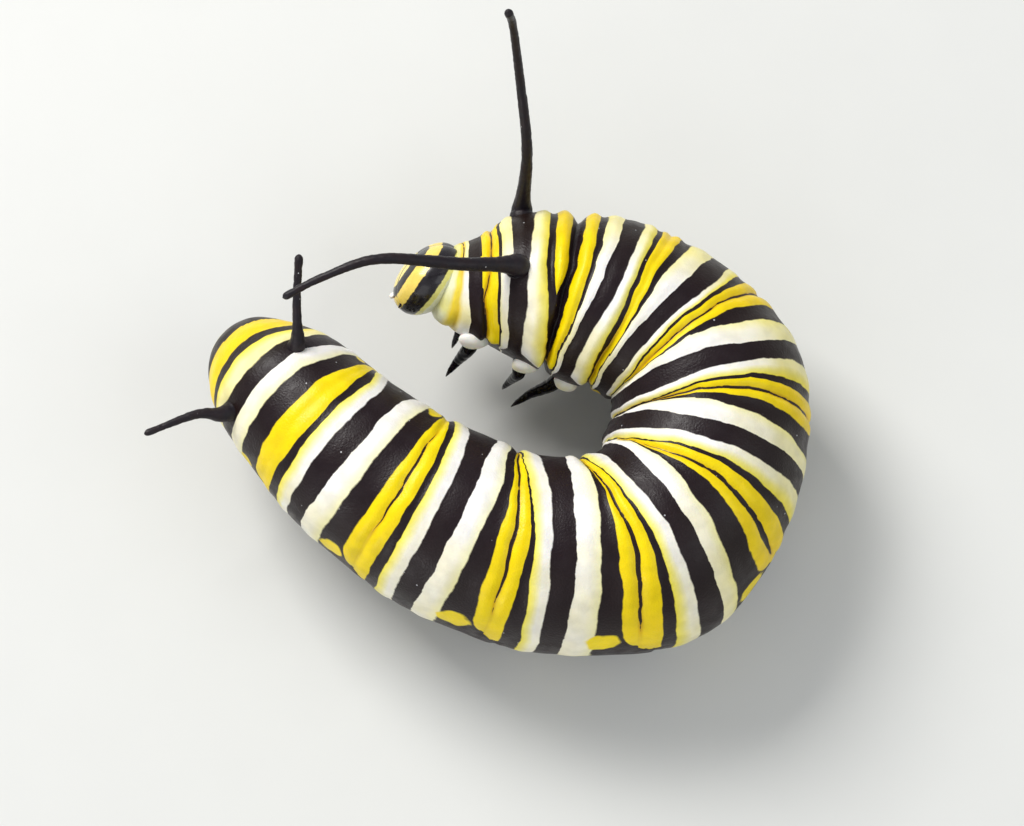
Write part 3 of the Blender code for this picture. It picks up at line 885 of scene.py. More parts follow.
@dataclass(frozen=True)
class BandedSkin(Finish):
    """Satin skin with the black, white and yellow bands."""

    name: str = "banded_skin"
    rough_mm: float = 0.5
    rough_span: tuple = (0.35, 0.7)
    specular: float = 0.24
    flesh: float = 0.10
    flesh_spread: tuple = (1.0, 0.7, 0.35)
    grain_mm: float = 0.075
    glint_mm: float = 0.60
    bump: float = 0.40
    relief_mm: float = 0.030
    edge: float = 0.018
    raggedness: float = 0.12
    black_roughness: float = 0.03

    def stops(self) -> list:
        """The ramp over one row of bands.

        Returns:
            Places from 0 to 1, each with its colour.
        """
        p, e = PALETTE, self.edge
        edges = [
            (Zone.WHITE_FRONT, p.black, p.white),
            (Zone.THIN_BLACK, p.lemon, p.black),
            (Zone.YELLOW_FRONT, p.black, p.yellow),
            (Zone.WIDE_BLACK, p.yellow, p.black),
            (Zone.WHITE_REAR, p.black, p.cream),
            (ZONES, p.white, p.black),
        ]
        stops = [(0.0, p.black)]
        for place, before, after in edges:
            stops += [(max(place - e, 0), before), (min(place + e, ZONES), after)]
        inner = [
            (Zone.WHITE_FRONT + 0.38, p.white),
            (Zone.WHITE_FRONT + 0.72, p.pale_yellow),
            (Zone.WHITE_REAR + 0.45, p.white),
        ]
        return [(place / ZONES, colour) for place, colour in sorted(stops + inner, key=lambda stop: stop[0])]

    @staticmethod
    def neck_stops() -> list:
        """The soft colours from the head's rim to the first black band.

        Returns:
            Places from 0 to 1, each with its colour.
        """
        places = (0.0, 0.22, 0.36, 0.58, 0.74, 0.95)
        p = PALETTE
        return list(zip(places, (p.neck_pale, p.neck_pale, p.neck_fold, p.neck_fold, p.white, p.white)))

    def bands(self, n: Nodes, ragged: Socket) -> Socket:
        """The colours of the bands and the neck.

        Args:
            n: The material's nodes.
            ragged: What makes the edges ragged.

        Returns:
            The colour.
        """
        band = n.math("ADD", n.attribute("band"), ragged)
        turn = n.math("FRACT", n.math("DIVIDE", band, float(ZONES)))
        colour = n.ramp(turn, self.stops())
        zone = n.math("MULTIPLY", turn, float(ZONES))
        for name, middle, reach in (("no_white", 1.5, 1.5), ("no_yellow", 4.5, 1.55)):
            within = n.math("COMPARE", zone, middle, reach)
            hidden = n.math("MULTIPLY", n.math("GREATER_THAN", n.attribute(name), 0.5), within)
            colour = n.mix(hidden, colour, PALETTE.black)
        neck = n.ramp(n.math("ADD", n.attribute("neck"), n.math("MULTIPLY", ragged, 0.6)), self.neck_stops())
        return n.mix(n.math("LESS_THAN", band, float(ZONES)), colour, neck)

    def fold_line(self, n: Nodes, place: Socket, colour: Socket) -> Socket:
        """Draws the broken dark line in each fold, with a rim of painted amber shade round it.

        Args:
            n: The material's nodes.
            place: The place on the object.
            colour: The colour under it.

        Returns:
            The colour with the line.
        """
        off, half = n.math("ABSOLUTE", n.attribute("fold_off")), n.attribute("fold_half")
        # Painted shade: the yellow is darkened amber for a short way either side of each fold line.
        amber = n.math("MULTIPLY", n.steps(off, 0.0, 0.12, 0.45, 0.0), n.steps(half, -0.040, -0.015))
        colour = n.tint(amber, colour, PALETTE.fold_shade_dye)
        broken = n.patches(place, 0.45, (0.30, 0.50), (-0.02, 0.016), 3.0)
        line = n.steps(n.math("SUBTRACT", off, n.math("ADD", half, broken)), -0.006, 0.010, 1.0, 0.0)
        line_colour = n.mix(n.steps(half, 0.05, 0.10), PALETTE.fold_brown, PALETTE.black)
        return n.mix(line, colour, line_colour)

    def paint(self, n: Nodes, place: Socket, grain: bpy.types.Node) -> tuple:
        """Lays out the bands, the cream tint, painted shade in the creases, the spots, the fold lines with
        painted shade round them, and pale specks that are painted glints.

        Args:
            n: The material's nodes.
            place: The place on the object.
            grain: The grain group.

        Returns:
            The colour, and what the black skin adds to the roughness.
        """
        p = PALETTE
        ragged = n.jitter(place, 0.30, self.raggedness, 4.0)
        colour = self.bands(n, ragged)
        colour = n.tint(n.attribute("cream"), colour, p.cream_dye)
        # Painted shade: the skin is darkened brown where it sinks below its evened-out surface into a crease.
        colour = n.tint(n.steps(n.attribute("crease_shade"), 0.25, 1.0, 0.0, 0.75), colour, p.crease_shade_dye)
        colour = n.mix(n.steps(n.math("ADD", n.attribute("spot"), ragged), 0.45, 0.58), colour, p.yellow)
        colour = self.fold_line(n, place, colour)
        colour = n.shade(colour, n.steps(grain.outputs["Mottle"], 0.30, 0.70, 0.90, 1.03))
        light = n.add("ShaderNodeRGBToBW", {0: colour}).outputs[0]
        dark = n.steps(light, 0.03, 0.15, 1.0, 0.0)
        # Painted glints: pale specks, only on the dark skin, that stand in for sparkles of light.
        painted_glints = n.math("MULTIPLY", n.math("MULTIPLY", grain.outputs["Glint"], dark), 0.8)
        return n.mix(painted_glints, colour, p.painted_glint), n.math("MULTIPLY", dark, self.black_roughness)


@dataclass(frozen=True)
class DarkSkin(Finish):
    """Satin black skin, with a pale patch where the mesh says so."""

    name: str = "black_skin"
    roughness: float = 0.42
    specular: float = 0.30
    glint_mm: float = 0.45
    bump: float = 0.35
    relief_mm: float = 0.012

    def paint(self, n: Nodes, place: Socket, grain: bpy.types.Node) -> tuple:
        """Lays out the black, the patch and the pale specks that are painted glints.

        Args:
            n: The material's nodes.
            place: The place on the object.
            grain: The grain group.

        Returns:
            The colour, and None.
        """
        p = PALETTE
        ragged = n.jitter(place, 0.25, 0.5)
        patch = n.steps(n.math("ADD", n.attribute("patch"), ragged), 0.45, 0.6)
        dark = n.mix(n.patches(place, 0.4, (0.35, 0.7)), p.glossy_black, p.black)
        colour = n.mix(patch, dark, p.white)
        # Painted glints: pale specks that stand in for sparkles of light.
        return n.mix(n.math("MULTIPLY", grain.outputs["Glint"], 0.8), colour, p.painted_glint), None


@dataclass(frozen=True)
class GlossShell(Finish):
    """Hard, glossy black shell, with an amber end where amber_end is set."""

    name: str = "leg_shell"
    roughness: float = 0.20
    rough_mm: float = 0.2
    rough_span: tuple = (0.3, 0.75)
    specular: float = 0.08
    coat: float = 0.32
    coat_roughness: float = 0.04
    grain_mm: float = 0.06
    amber_end: bool = False

    def paint(self, n: Nodes, place: Socket, grain: bpy.types.Node) -> tuple:
        """Lays out the black and the amber end.

        Args:
            n: The material's nodes.
            place: The place on the object.
            grain: The grain group, not used here.

        Returns:
            The colour, and None.
        """
        colour = n.mix(n.patches(place, 0.3, (0.4, 0.7)), PALETTE.jet, PALETTE.glossy_black)
        if self.amber_end:
            colour = n.mix(n.attribute("tip"), colour, PALETTE.amber)
        return colour, None


@dataclass(frozen=True)
class StripedShell(Finish):
    """The head's smooth shell. Its arched stripes end at the stripe_ends, in degrees from the face."""

    name: str = "head_shell"
    roughness: float = 0.28
    rough_mm: float = 0.25
    coat: float = 0.25
    coat_roughness: float = 0.12
    bump: float = 0.14
    stripe_ends: tuple = (26.0, 44.0, 71.0, 106.0, 117.0, 122.0)
    edge: float = 0.004
    raggedness: float = 0.035

    def paint(self, n: Nodes, place: Socket, grain: bpy.types.Node) -> tuple:
        """Lays out the stripes, the suture and the pale specks that are painted glints.

        Args:
            n: The material's nodes.
            place: The place on the object.
            grain: The grain group.

        Returns:
            The colour, and None.
        """
        p = PALETTE
        colours = [p.face_yellow, p.glossy_black, p.head_yellow, p.glossy_black, p.neck_yellow, p.neck_pale,
                   p.neck_pale]
        stops = [(0.0, colours[0])]
        for end, before, after in zip(self.stripe_ends, colours, colours[1:]):
            stops += [(end / 180 - self.edge, before), (end / 180 + self.edge, after)]
        ragged = n.jitter(place, 0.2, self.raggedness)
        colour = n.ramp(n.math("ADD", n.attribute("stripe"), ragged), stops)
        colour = n.shade(colour, n.patches(place, 0.35, (0.3, 0.7), (0.90, 1.05), 3.0))
        colour = n.mix(n.steps(n.attribute("suture"), 0.35, 0.8), colour, p.glossy_black)
        # Painted glints: pale specks that stand in for sparkles of light.
        return n.mix(n.math("MULTIPLY", grain.outputs["Glint"], 0.4), colour, p.painted_glint), None


@dataclass(frozen=True)
class PaleFlesh(Finish):
    """Soft white flesh with a little yellow, at the legs' roots and the upper lip."""

    name: str = "pale_flesh"
    flesh: float = 0.15
    flesh_mm: float = 0.4
    glint_mm: float = 0.8
    bump: float = 0.25
    relief_mm: float = 0.012

    def paint(self, n: Nodes, place: Socket, grain: bpy.types.Node) -> tuple:
        """Lays out the white and the yellow.

        Args:
            n: The material's nodes.
            place: The place on the object.
            grain: The grain group, not used here.

        Returns:
            The colour, and None.
        """
        tinted = n.patches(place, 0.9, (0.45, 0.75), (0.0, 0.7))
        return n.mix(tinted, PALETTE.white, PALETTE.pale_yellow), None


@dataclass(frozen=True)
class PlainFloor:
    """Matt pale paper under the animal."""

    roughness: float = 0.85
    cloud_mm: float = 3.0
    cloud_shade: float = 0.97

    def make(self) -> bpy.types.Material:
        """Builds the material.

        Returns:
            The material.
        """
        material = bpy.data.materials.new("floor_paper")
        material.use_nodes = True
        shader = material.node_tree.nodes["Principled BSDF"]
        shader.inputs["Roughness"].default_value = self.roughness
        n = Nodes(material.node_tree)
        darker = tuple(c * self.cloud_shade for c in PALETTE.floor)
        cloud = n.noise(n.place(), self.cloud_mm, 3.0)
        n.link(n.mix(cloud, darker, PALETTE.floor), shader, "Base Color")
        return material


# The trunk's skin


@dataclass(frozen=True)
class SkinGrid:
    """The plain surface's grid, and where each of its points lies among the bands."""

    places: np.ndarray
    angles: np.ndarray
    plain: np.ndarray
    t: np.ndarray
    spacing: np.ndarray
    shifted: np.ndarray
    edges: np.ndarray
    nearest: np.ndarray

    def by_fold(self, values: np.ndarray) -> np.ndarray:
        """Values of angles x rows, read for each point at the nearest fold's row."""
        return values[np.arange(len(self.angles))[None], self.nearest]

    def fold(self) -> np.ndarray:
        """The nearest fold's place, for each point."""
        return self.by_fold(self.edges[:, :, 3:5].mean(2))


@dataclass
class TrunkSkin:
    """The thorax and abdomen as one unbroken skin, folded between its segments.

    The swell holds the skin's height at the start and in the middle of each band. Each spot is
    its place, its angle and its half sizes, in stations and degrees.
    """

    curve: BodyCurve = CURVE
    bands: BandTable = field(default_factory=BandTable)
    rings: int = 540
    tail_rings: int = 44
    around: int = 168
    first_place: float = -0.20
    neck_width: float = 0.80
    wave: float = 0.072
    wave_size: float = 1.15
    thorax_boost: float = 1.7
    lump: float = 0.020
    lump_size: float = 1.6
    flank_ridge: float = 0.12
    swell: tuple = (0.0, 0.020, 0.0, 0.050, 0.0, -0.085, -0.010, 0.060, -0.045, -0.130, -0.045, 0.060, -0.015,
                    -0.060, -0.005, 0.055)
    fold_depth: float = 0.10
    inner_fold_depth: float = 0.16
    fold_shares: tuple = (0.25, 0.8, 1.5, 0.8, 0.9, 0.8, 0.65, 0.55, 0.55, 0.5, 0.1, 0.0)
    fold_reach: float = 0.14
    line_reach: float = 0.25
    line_change: float = 0.060
    least_white: float = 0.022
    least_yellow: float = 0.012
    spots: tuple = (
        (7.68, -70, 0.11, 8), (8.66, -71, 0.11, 8), (9.65, -71, 0.11, 8), (6.70, -76, 0.11, 8),
        (5.72, -80, 0.10, 8), (4.74, -84, 0.10, 7), (10.62, -72, 0.07, 6),
        (9.56, 77, 0.08, 9), (10.57, 88, 0.07, 6),
    )
    first_low_spot: float = 3.8
    low_spots_after: float = 2.92
    low_spot_angle: float = 121.0
    low_spot_size: tuple = (0.26, 6)
    cream_places: tuple = (0, 3, 5, 6.5, 8, 10.6, 11.1)
    cream_shares: tuple = (0.9, 1.15, 1.1, 0.8, 0.35, 0.35, 0.9)
    tail_cap: tuple = ((0.9, 0.02), (0.75, 0.05), (0.55, 0.08), (0.3, 0.10), (0.12, 0.11))

    def places(self) -> np.ndarray:
        """Places of the rings: even along the trunk, closer where the tail rounds off.

        Returns:
            The places, in stations.
        """
        fine = np.linspace(self.first_place, self.curve.tail_start, 4000)
        run = run_of(self.curve.axes(fine)[0])
        even = np.interp(np.linspace(0, run[-1], self.rings - self.tail_rings), run, fine)
        turn = np.linspace(0, math.pi / 2, self.tail_rings + 1)[1:]
        tail = self.curve.tail_start + (self.curve.tail_end - self.curve.tail_start) * np.sin(turn)
        return np.concatenate([even, tail])

    def lay_out(self) -> SkinGrid:
        """Lays the grid over the plain surface, and finds the bands' edges on it.

        Returns:
            The grid.
        """
        places = self.places()
        angles = (np.arange(self.around) / self.around * 360 + 180) % 360 - 180
        plain = self.curve.surface(places, angles)
        t = np.broadcast_to(places[:, None], plain.shape[:2])
        stretch = np.maximum(np.gradient(places)[:, None], 1e-9)
        spacing = np.linalg.norm(np.gradient(plain, axis=0), axis=2) / stretch
        wobble = self.wave * ripple(plain, self.wave_size, 3, 3.0)
        shifted = t + wobble / np.maximum(spacing, 0.6)
        edges = self.bands.edges_at(angles)
        nearest = np.abs(shifted[:, :, None] - edges[:, :, 3:5].mean(2)[None]).argmin(2)
        return SkinGrid(places, angles, plain, t, spacing, shifted, edges, nearest)

    def relief(self, grid: SkinGrid, band: np.ndarray) -> np.ndarray:
        """How far the skin stands out of the plain surface.

        Args:
            grid: The skin's grid.
            band: The band coordinate of each point.

        Returns:
            Millimetres, rings x around.
        """
        t, turned = grid.shifted, np.abs(grid.angles)
        depth = np.array(self.fold_shares)[grid.nearest]
        fold = grid.fold()
        halves = np.arange(len(self.swell) + 1)
        swell = np.interp(np.mod(band, ZONES) * 2, halves, (*self.swell, self.swell[0]))
        swell = np.where(swell < 0, swell * np.minimum(depth * 1.3, 1), swell)
        swell = swell * (1 + self.thorax_boost * fall(t, 4.0, 1.0))
        room = np.clip(grid.spacing / 2.2, 0.35, 1.0)
        inner = rise(turned, 30, 50) * (grid.angles > 0)
        dip = depth * (self.fold_depth + self.inner_fold_depth * inner)
        dip = dip * bell((t - fold) * grid.spacing, 0.0, self.fold_reach)
        ridge = self.flank_ridge * bell(turned, 110, 11) * (0.6 + 0.4 * np.cos(2 * np.pi * (t - fold)))
        upper = np.clip((150 - turned) / 30, 0.3, 1.0)
        lumps = self.lump * ripple(grid.plain, self.lump_size, 1, 9.0)
        return blur(swell * room * upper, 3) - dip + ridge * rise(t, 0.5, 1.0) * fall(t, 13.2, 1.0) + lumps

    def spot(self, grid: SkinGrid) -> np.ndarray:
        """The small yellow spots: those of the flanks, and a long one low on each side of a segment.

        Args:
            grid: The skin's grid.

        Returns:
            Above a half inside a spot, rings x around.
        """
        low_places = (self.first_low_spot, *(self.low_spots_after + number for number in range(2, 11)))
        low = [(place, side * self.low_spot_angle, *self.low_spot_size)
               for place in low_places for side in SIDES.values()]
        spot = np.zeros_like(grid.t)
        for place, angle, size, reach in (*self.spots, *low):
            away = np.hypot((grid.t - place) / size, (grid.angles - angle) / reach)
            spot = np.maximum(spot, 1 - away * 0.5)
        spot[(np.abs(grid.angles) < 100)[None] & (grid.t > 11.2)] = 0
        spot += 0.17 * ripple(grid.plain, 0.55, 2, 21.0) * (spot > 0.05)
        return np.clip(spot, 0, 1)

    def cream(self, grid: SkinGrid) -> np.ndarray:
        """How creamy the white bands are.

        Args:
            grid: The skin's grid.

        Returns:
            A share for each point, rings x around.
        """
        t, angles = grid.t, grid.angles
        outer = fall(angles, np.interp(t, (5, 7), (20, 5)), 50) * fall(np.abs(angles), 125, 20)
        outer = outer * np.interp(t, self.cream_places, self.cream_shares)
        inner = rise(angles, 52, 24) * fall(angles, 105, 15) * fall(t, 4.9, 0.4) * 0.7
        upper = fall(angles, 38, 30) * fall(t, 2.9, 0.4) * 0.85
        second_band = fall(angles, 95, 30) * np.clip(1 - np.abs(t - 2.26) / 0.25, 0, 1) * 0.75
        tail = rise(t, 11.0, 0.12) * 0.95
        most = np.maximum.reduce([outer, inner, upper, second_band, tail])
        return np.clip(most + 0.30 * ripple(grid.plain, 1.4, 2, 14.0), 0, 1)

    def fold_half(self, grid: SkinGrid) -> np.ndarray:
        """Half the width of the dark line in the nearest fold.

        Args:
            grid: The skin's grid.

        Returns:
            Millimetres, below nought where there is no line.
        """
        widths = grid.by_fold(grid.edges[:, :, 4] - grid.edges[:, :, 3])
        near = np.abs(grid.shifted - grid.fold()) < self.line_reach
        half = np.where(near, widths * grid.spacing / 2 - 0.008, -1.0)
        half -= 0.035 * np.clip(1 - widths / 0.016, 0, 1)
        half -= self.line_change * fall(grid.angles, -50, 12)
        half += self.line_change * rise(grid.angles, 40, 8) * fall(grid.angles, 100, 10) * (grid.nearest == 2)
        return half

    def build(self) -> bpy.types.Object:
        """Builds the skin with the vertex values that its finish reads.

        Returns:
            The skin's object.
        """
        grid = self.lay_out()
        band = self.bands.read(grid.shifted, grid.edges)
        out = self.relief(grid, band)
        centre = self.curve.axes(grid.places)[0]
        skin = grid.plain + unit(grid.plain - centre[:, None]) * out[..., None]
        tuck = np.interp(grid.places, (self.first_place, -0.02, 0.10), (self.neck_width, 0.97, 1.0))
        skin = centre[:, None] + (skin - centre[:, None]) * tuck[:, None, None]
        row = np.clip((band // ZONES).astype(int), 0, len(self.bands.rows) - 1)
        edges = grid.edges[np.arange(len(grid.angles))[None], row]
        no_yellow = (edges[..., 5] - edges[..., 2] < self.least_yellow) & (row > 0)
        values = {
            "band": band,
            # Painted shade: how deep the skin sinks into a crease, which darkens its colour there.
            "crease_shade": np.clip(-(out - blur(out, 24)) / 0.10, 0, 1),
            "spot": self.spot(grid),
            "cream": self.cream(grid),
            "no_white": (edges[..., 1] - edges[..., 0] < self.least_white) * 1.0,
            "no_yellow": no_yellow * 1.0,
            "neck": (grid.shifted - self.first_place) / (grid.edges[:, 0, 7] - self.first_place),
            "fold_half": self.fold_half(grid),
            "fold_off": (grid.shifted - grid.fold()) * grid.spacing,
        }
        values = {key: np.concatenate([value, np.repeat(value[-1:], len(self.tail_cap), 0)])
                  for key, value in values.items()}
        last = centre[-1] + (centre[-1] - centre[-3]) * 0.3
        closed = self.close_tail(skin, centre[-1])
        return MeshPlan().add_grid(closed, values, centre[0], last, WHOLE_MAP).make("trunk_skin")

    def close_tail(self, skin: np.ndarray, centre: np.ndarray) -> np.ndarray:
        """Adds narrowing rings over the tail's blunt end.

        Args:
            skin: The skin's rings.
            centre: The last ring's middle.

        Returns:
            The rings with those of the cap.
        """
        cap = [centre + (skin[-1] - centre) * share + (centre - skin[-8].mean(0)) * height
               for share, height in self.tail_cap]
        return np.concatenate([skin, np.array(cap)])

    def place(self, material: bpy.types.Material) -> None:
        """Builds the skin and puts it on the body."""
        nodes = (*(f"thorax_{k}" for k in range(1, 4)), *(f"abdomen_{k}" for k in range(1, 11)))
        seat(self.build(), material, nodes)


# Feelers, legs and feet


@dataclass
class Feeler:
    """One of the four fleshy black filaments. Its points are those after the root."""

    name: str
    station: float
    angle: float
    points: tuple
    root_radius: float
    shaft_radius: float
    tip_radius: float
    knob_radius: float
    flare: float
    flare_length: float = 0.95
    knob_length: float = 0.22
    end_length: float = 0.20
    rings: int = 190
    around: int = 44
    rise: float = 0.45
    slant: float = 0.6
    lump: float = 0.012
    rim: float = 0.004
    rim_step: float = 0.35

    def radii(self, share: np.ndarray, length: float) -> np.ndarray:
        """The radius, with a flare at the root and a small knob at the tip.

        Args:
            share: The share of the length gone by at each ring.
            length: The whole length.

        Returns:
            One radius for each ring.
        """
        knots = (self.root_radius, self.root_radius * 0.92, self.shaft_radius * 1.06, self.tip_radius,
                 self.tip_radius)
        radii = blur_line(np.interp(share, (0, 0.10, 0.35, 0.9, 1.0), knots), 60)
        radii += self.flare * bell(share * length, 0.0, self.flare_length)
        to_tip = length - share * length
        radii += (self.knob_radius - self.tip_radius) * bell(to_tip, self.knob_length, self.knob_length)
        end = np.clip(1 - to_tip / self.end_length, 0, 1)
        return radii * np.sqrt(np.maximum(1 - end**2, 0.004))

    def build(self) -> bpy.types.Object:
        """Builds the feeler, rooted in the body.

        Returns:
            The feeler's object.
        """
        root, normal = CURVE.point(self.station, self.angle), CURVE.normal(self.station, self.angle)
        rest = np.array(self.points) - ORIGIN
        slant = unit(normal + unit(rest[0] - root) * self.slant)
        given = np.vstack([root - normal * 0.50, root - normal * 0.10, root + slant * self.rise, rest])
        path, share = along(given, self.rings)
        length = np.linalg.norm(np.diff(path, axis=0), axis=1).sum()
        radii = self.radii(share, length)
        grid = tube(path, radii, np.cross(normal, (0.3, 0.2, 1.0)), self.around)
        bumps = self.lump * ripple(grid, 0.16, 2, 5.0) + 0.012 * ripple(grid, 0.7, 1, 7.0)
        run = share * length
        rim = self.rim * np.sin(run * 2 * math.pi / self.rim_step) * bell(run, 0.0, 2.2)
        out = bumps * np.clip(radii / 0.1, 0, 1)[:, None] + rim[:, None]
        grid = grid + unit(grid - path[:, None]) * out[..., None]
        tip = path[-1] + unit(path[-1] - path[-2]) * 0.005
        return MeshPlan().add_grid(grid, {"patch": 0.0}, path[0], tip).make(self.name)


FEELERS = (
    Feeler("front_filament_left", 1.90, 33,
           ((-1.9, 4.17, 9.6), (-4.8, 4.07, 10.5), (-6.9, 3.41, 10.3), (-8.3, 2.78, 9.9)),
           root_radius=0.30, shaft_radius=0.225, tip_radius=0.135, knob_radius=0.15, flare=0.24, rise=0.36,
           slant=2.4),
    Feeler("front_filament_right", 1.96, -36,
           ((0.55, 8.67, 9.2), (0.29, 10.53, 11.6), (0.04, 11.68, 14.0), (-0.14, 11.75, 15.4)),
           root_radius=0.29, shaft_radius=0.19, tip_radius=0.145, knob_radius=0.16, flare=0.20),
    Feeler("rear_filament_left", 11.0, 40, ((-7.84, 3.1, 8.6), (-7.75, 4.67, 9.2)),
           root_radius=0.24, shaft_radius=0.16, tip_radius=0.14, knob_radius=0.16, flare=0.17),
    Feeler("rear_filament_right", 11.0, -42, ((-11.6, -0.70, 6.7), (-13.42, -1.52, 7.0)),
           root_radius=0.27, shaft_radius=0.17, tip_radius=0.12, knob_radius=0.13, flare=0.18),
)


@dataclass
class WalkingLeg:
    """A jointed leg of the thorax: three glossy rings that narrow, and a claw."""

    name: str
    station: float
    angle: float
    joints: tuple
    on_floor: bool = False
    radii: tuple = (0.35, 0.27, 0.175, 0.095)
    root_depth: float = 0.35
    swell: float = 0.016
    flatness: float = 0.9
    around: int = 40
    steps: int = 36
    claw_length: float = 0.34
    claw_lift: float = 0.10
    claw_radius: float = 0.085
    point_radius: float = 0.008

    def corners(self) -> np.ndarray:
        """The ends of the leg's three joints, from inside the body to the claw.

        Returns:
            Four points. The last one is lifted by the claw where the leg stands on the floor.
        """
        root = CURVE.point(self.station, self.angle)
        inside = root - CURVE.normal(self.station, self.angle) * self.root_depth
        corners = np.vstack([inside, np.array(self.joints) - ORIGIN])
        corners[-1] += UP * (self.claw_lift * self.on_floor)
        return corners

    def build_shell(self) -> bpy.types.Object:
        """Builds the three joints, each swelling and then sinking to the next.

        Returns:
            The leg's object.
        """
        corners = self.corners()
        direction = unit(corners[-1] - corners[-2])
        corners[-1] -= direction * (0.0 if self.on_floor else self.claw_length * 0.8)
        share = np.linspace(0, len(corners) - 1, self.steps * (len(corners) - 1) + 1)
        knots = np.arange(len(corners))
        path = blur_line(np.stack([np.interp(share, knots, corners[:, k]) for k in range(3)], 1), 6)
        path[0], path[-1] = corners[0], corners[-1]
        radii = np.interp(share, knots, self.radii)
        part = np.mod(share * (len(corners) - 1), 1.0)
        radii = radii * (1 + self.swell * np.sin((part - 0.35) * 2 * math.pi))
        radii[-3:] *= (0.95, 0.8, 0.5)
        grid = tube(path, radii, np.array([0.2, 0.3, 1.0]), self.around, self.flatness)
        grid = roughened(grid, path[:, None], 0.006, 0.25, 4.0)
        return MeshPlan().add_grid(grid, {"tip": 0.0}, path[0], path[-1]).make(self.name)

    def build_claw(self) -> bpy.types.Object:
        """Builds the curved claw at the end.

        Returns:
            The claw's object.
        """
        corners = self.corners()
        forward = unit(corners[-1] - corners[-2])
        side = unit(np.cross(forward, UP))
        down = np.cross(side, forward)
        down = -down if down[2] > 0 else down
        back, reach, bend = (0.12, 0.55, 0.16) if self.on_floor else (self.claw_length, 1.0, 0.22)
        share = np.linspace(0, 1, 18)[:, None]
        start = corners[-1] - forward * back
        path = start + forward * self.claw_length * reach * share + down * self.claw_length * bend * share**2
        radii = self.claw_radius * (1 - share[:, 0]) ** 0.8 + self.point_radius
        grid, tip = tube(path, radii, side, 20), path[-1] + forward * 0.01
        return MeshPlan().add_grid(grid, {"tip": share}, path[0], tip).make(f"{self.name}_claw")

    def place(self, shell: bpy.types.Material, claw: bpy.types.Material) -> None:
        """Builds the leg and puts it on the body."""
        seat(self.build_shell(), shell, (self.name,))
        seat(self.build_claw(), claw)


WALKING_LEGS = (
    WalkingLeg("leg_1_left", 1.05, 138, ((-1.64, 2.50, 4.3), (-2.03, 2.30, 3.5), (-2.51, 1.83, 3.0))),
    WalkingLeg("leg_1_right", 1.05, 222, ((-1.7, 4.5, 2.6), (-2.0, 3.9, 2.0), (-2.3, 3.4, 1.4))),
    WalkingLeg("leg_2_left", 2.05, 140, ((0.25, 1.62, 4.1), (-0.04, 1.58, 3.4), (-0.42, 1.42, 2.7)),
               radii=(0.31, 0.25, 0.165, 0.09)),
    WalkingLeg("leg_2_right", 2.05, 220, ((0.2, 4.85, 1.8), (0.0, 4.75, 1.0), (-0.3, 4.65, 0.0)),
               on_floor=True),
    WalkingLeg("leg_3_left", 2.95, 142, ((1.45, 1.30, 3.7), (0.67, 1.14, 3.1), (-0.08, 0.78, 2.6))),
    WalkingLeg("leg_3_right", 2.95, 218, ((3.25, 4.5, 1.3), (3.1, 4.4, 0.7), (2.8, 4.3, 0.0)),
               on_floor=True),
)


@dataclass
class RootLobes:
    """The pale lobes of flesh that the walking legs grow from.

    Sizes are half sizes along, round and out of the body.
    """

    stations: tuple = (0.95, 2.14, 3.03)
    angles: tuple = (126.0, 129.0, 133.0)
    sizes: tuple = ((0.56, 0.50, 0.34), (0.52, 0.44, 0.32), (0.46, 0.46, 0.34))
    counts: tuple = (26, 40)
    lump: float = 0.055
    lump_size: float = 0.60

    def build(self, side: str) -> bpy.types.Object:
        """Builds one side's three lobes as one piece.

        Args:
            side: The side's name.

        Returns:
            The lobes' object.
        """
        plan = MeshPlan()
        for k, (station, angle, sizes) in enumerate(zip(self.stations, self.angles, self.sizes)):
            angle = angle * SIDES[side]
            centre = CURVE.point(station, angle, 1.0, 0.02)
            out = CURVE.normal(station, angle)
            forward = CURVE.forward(station)
            forward = unit(forward - out * forward.dot(out))
            grid = egg(centre, (forward, np.cross(out, forward), out), sizes, self.counts, 0.04)
            grid = roughened(grid, centre, self.lump, self.lump_size, 11.0)
            plan.add_grid(grid, {"patch": 1.0}, place=(0.02 + 0.33 * k, 0.02, 0.29, 0.96))
        return plan.make(f"root_lobes_{side}")


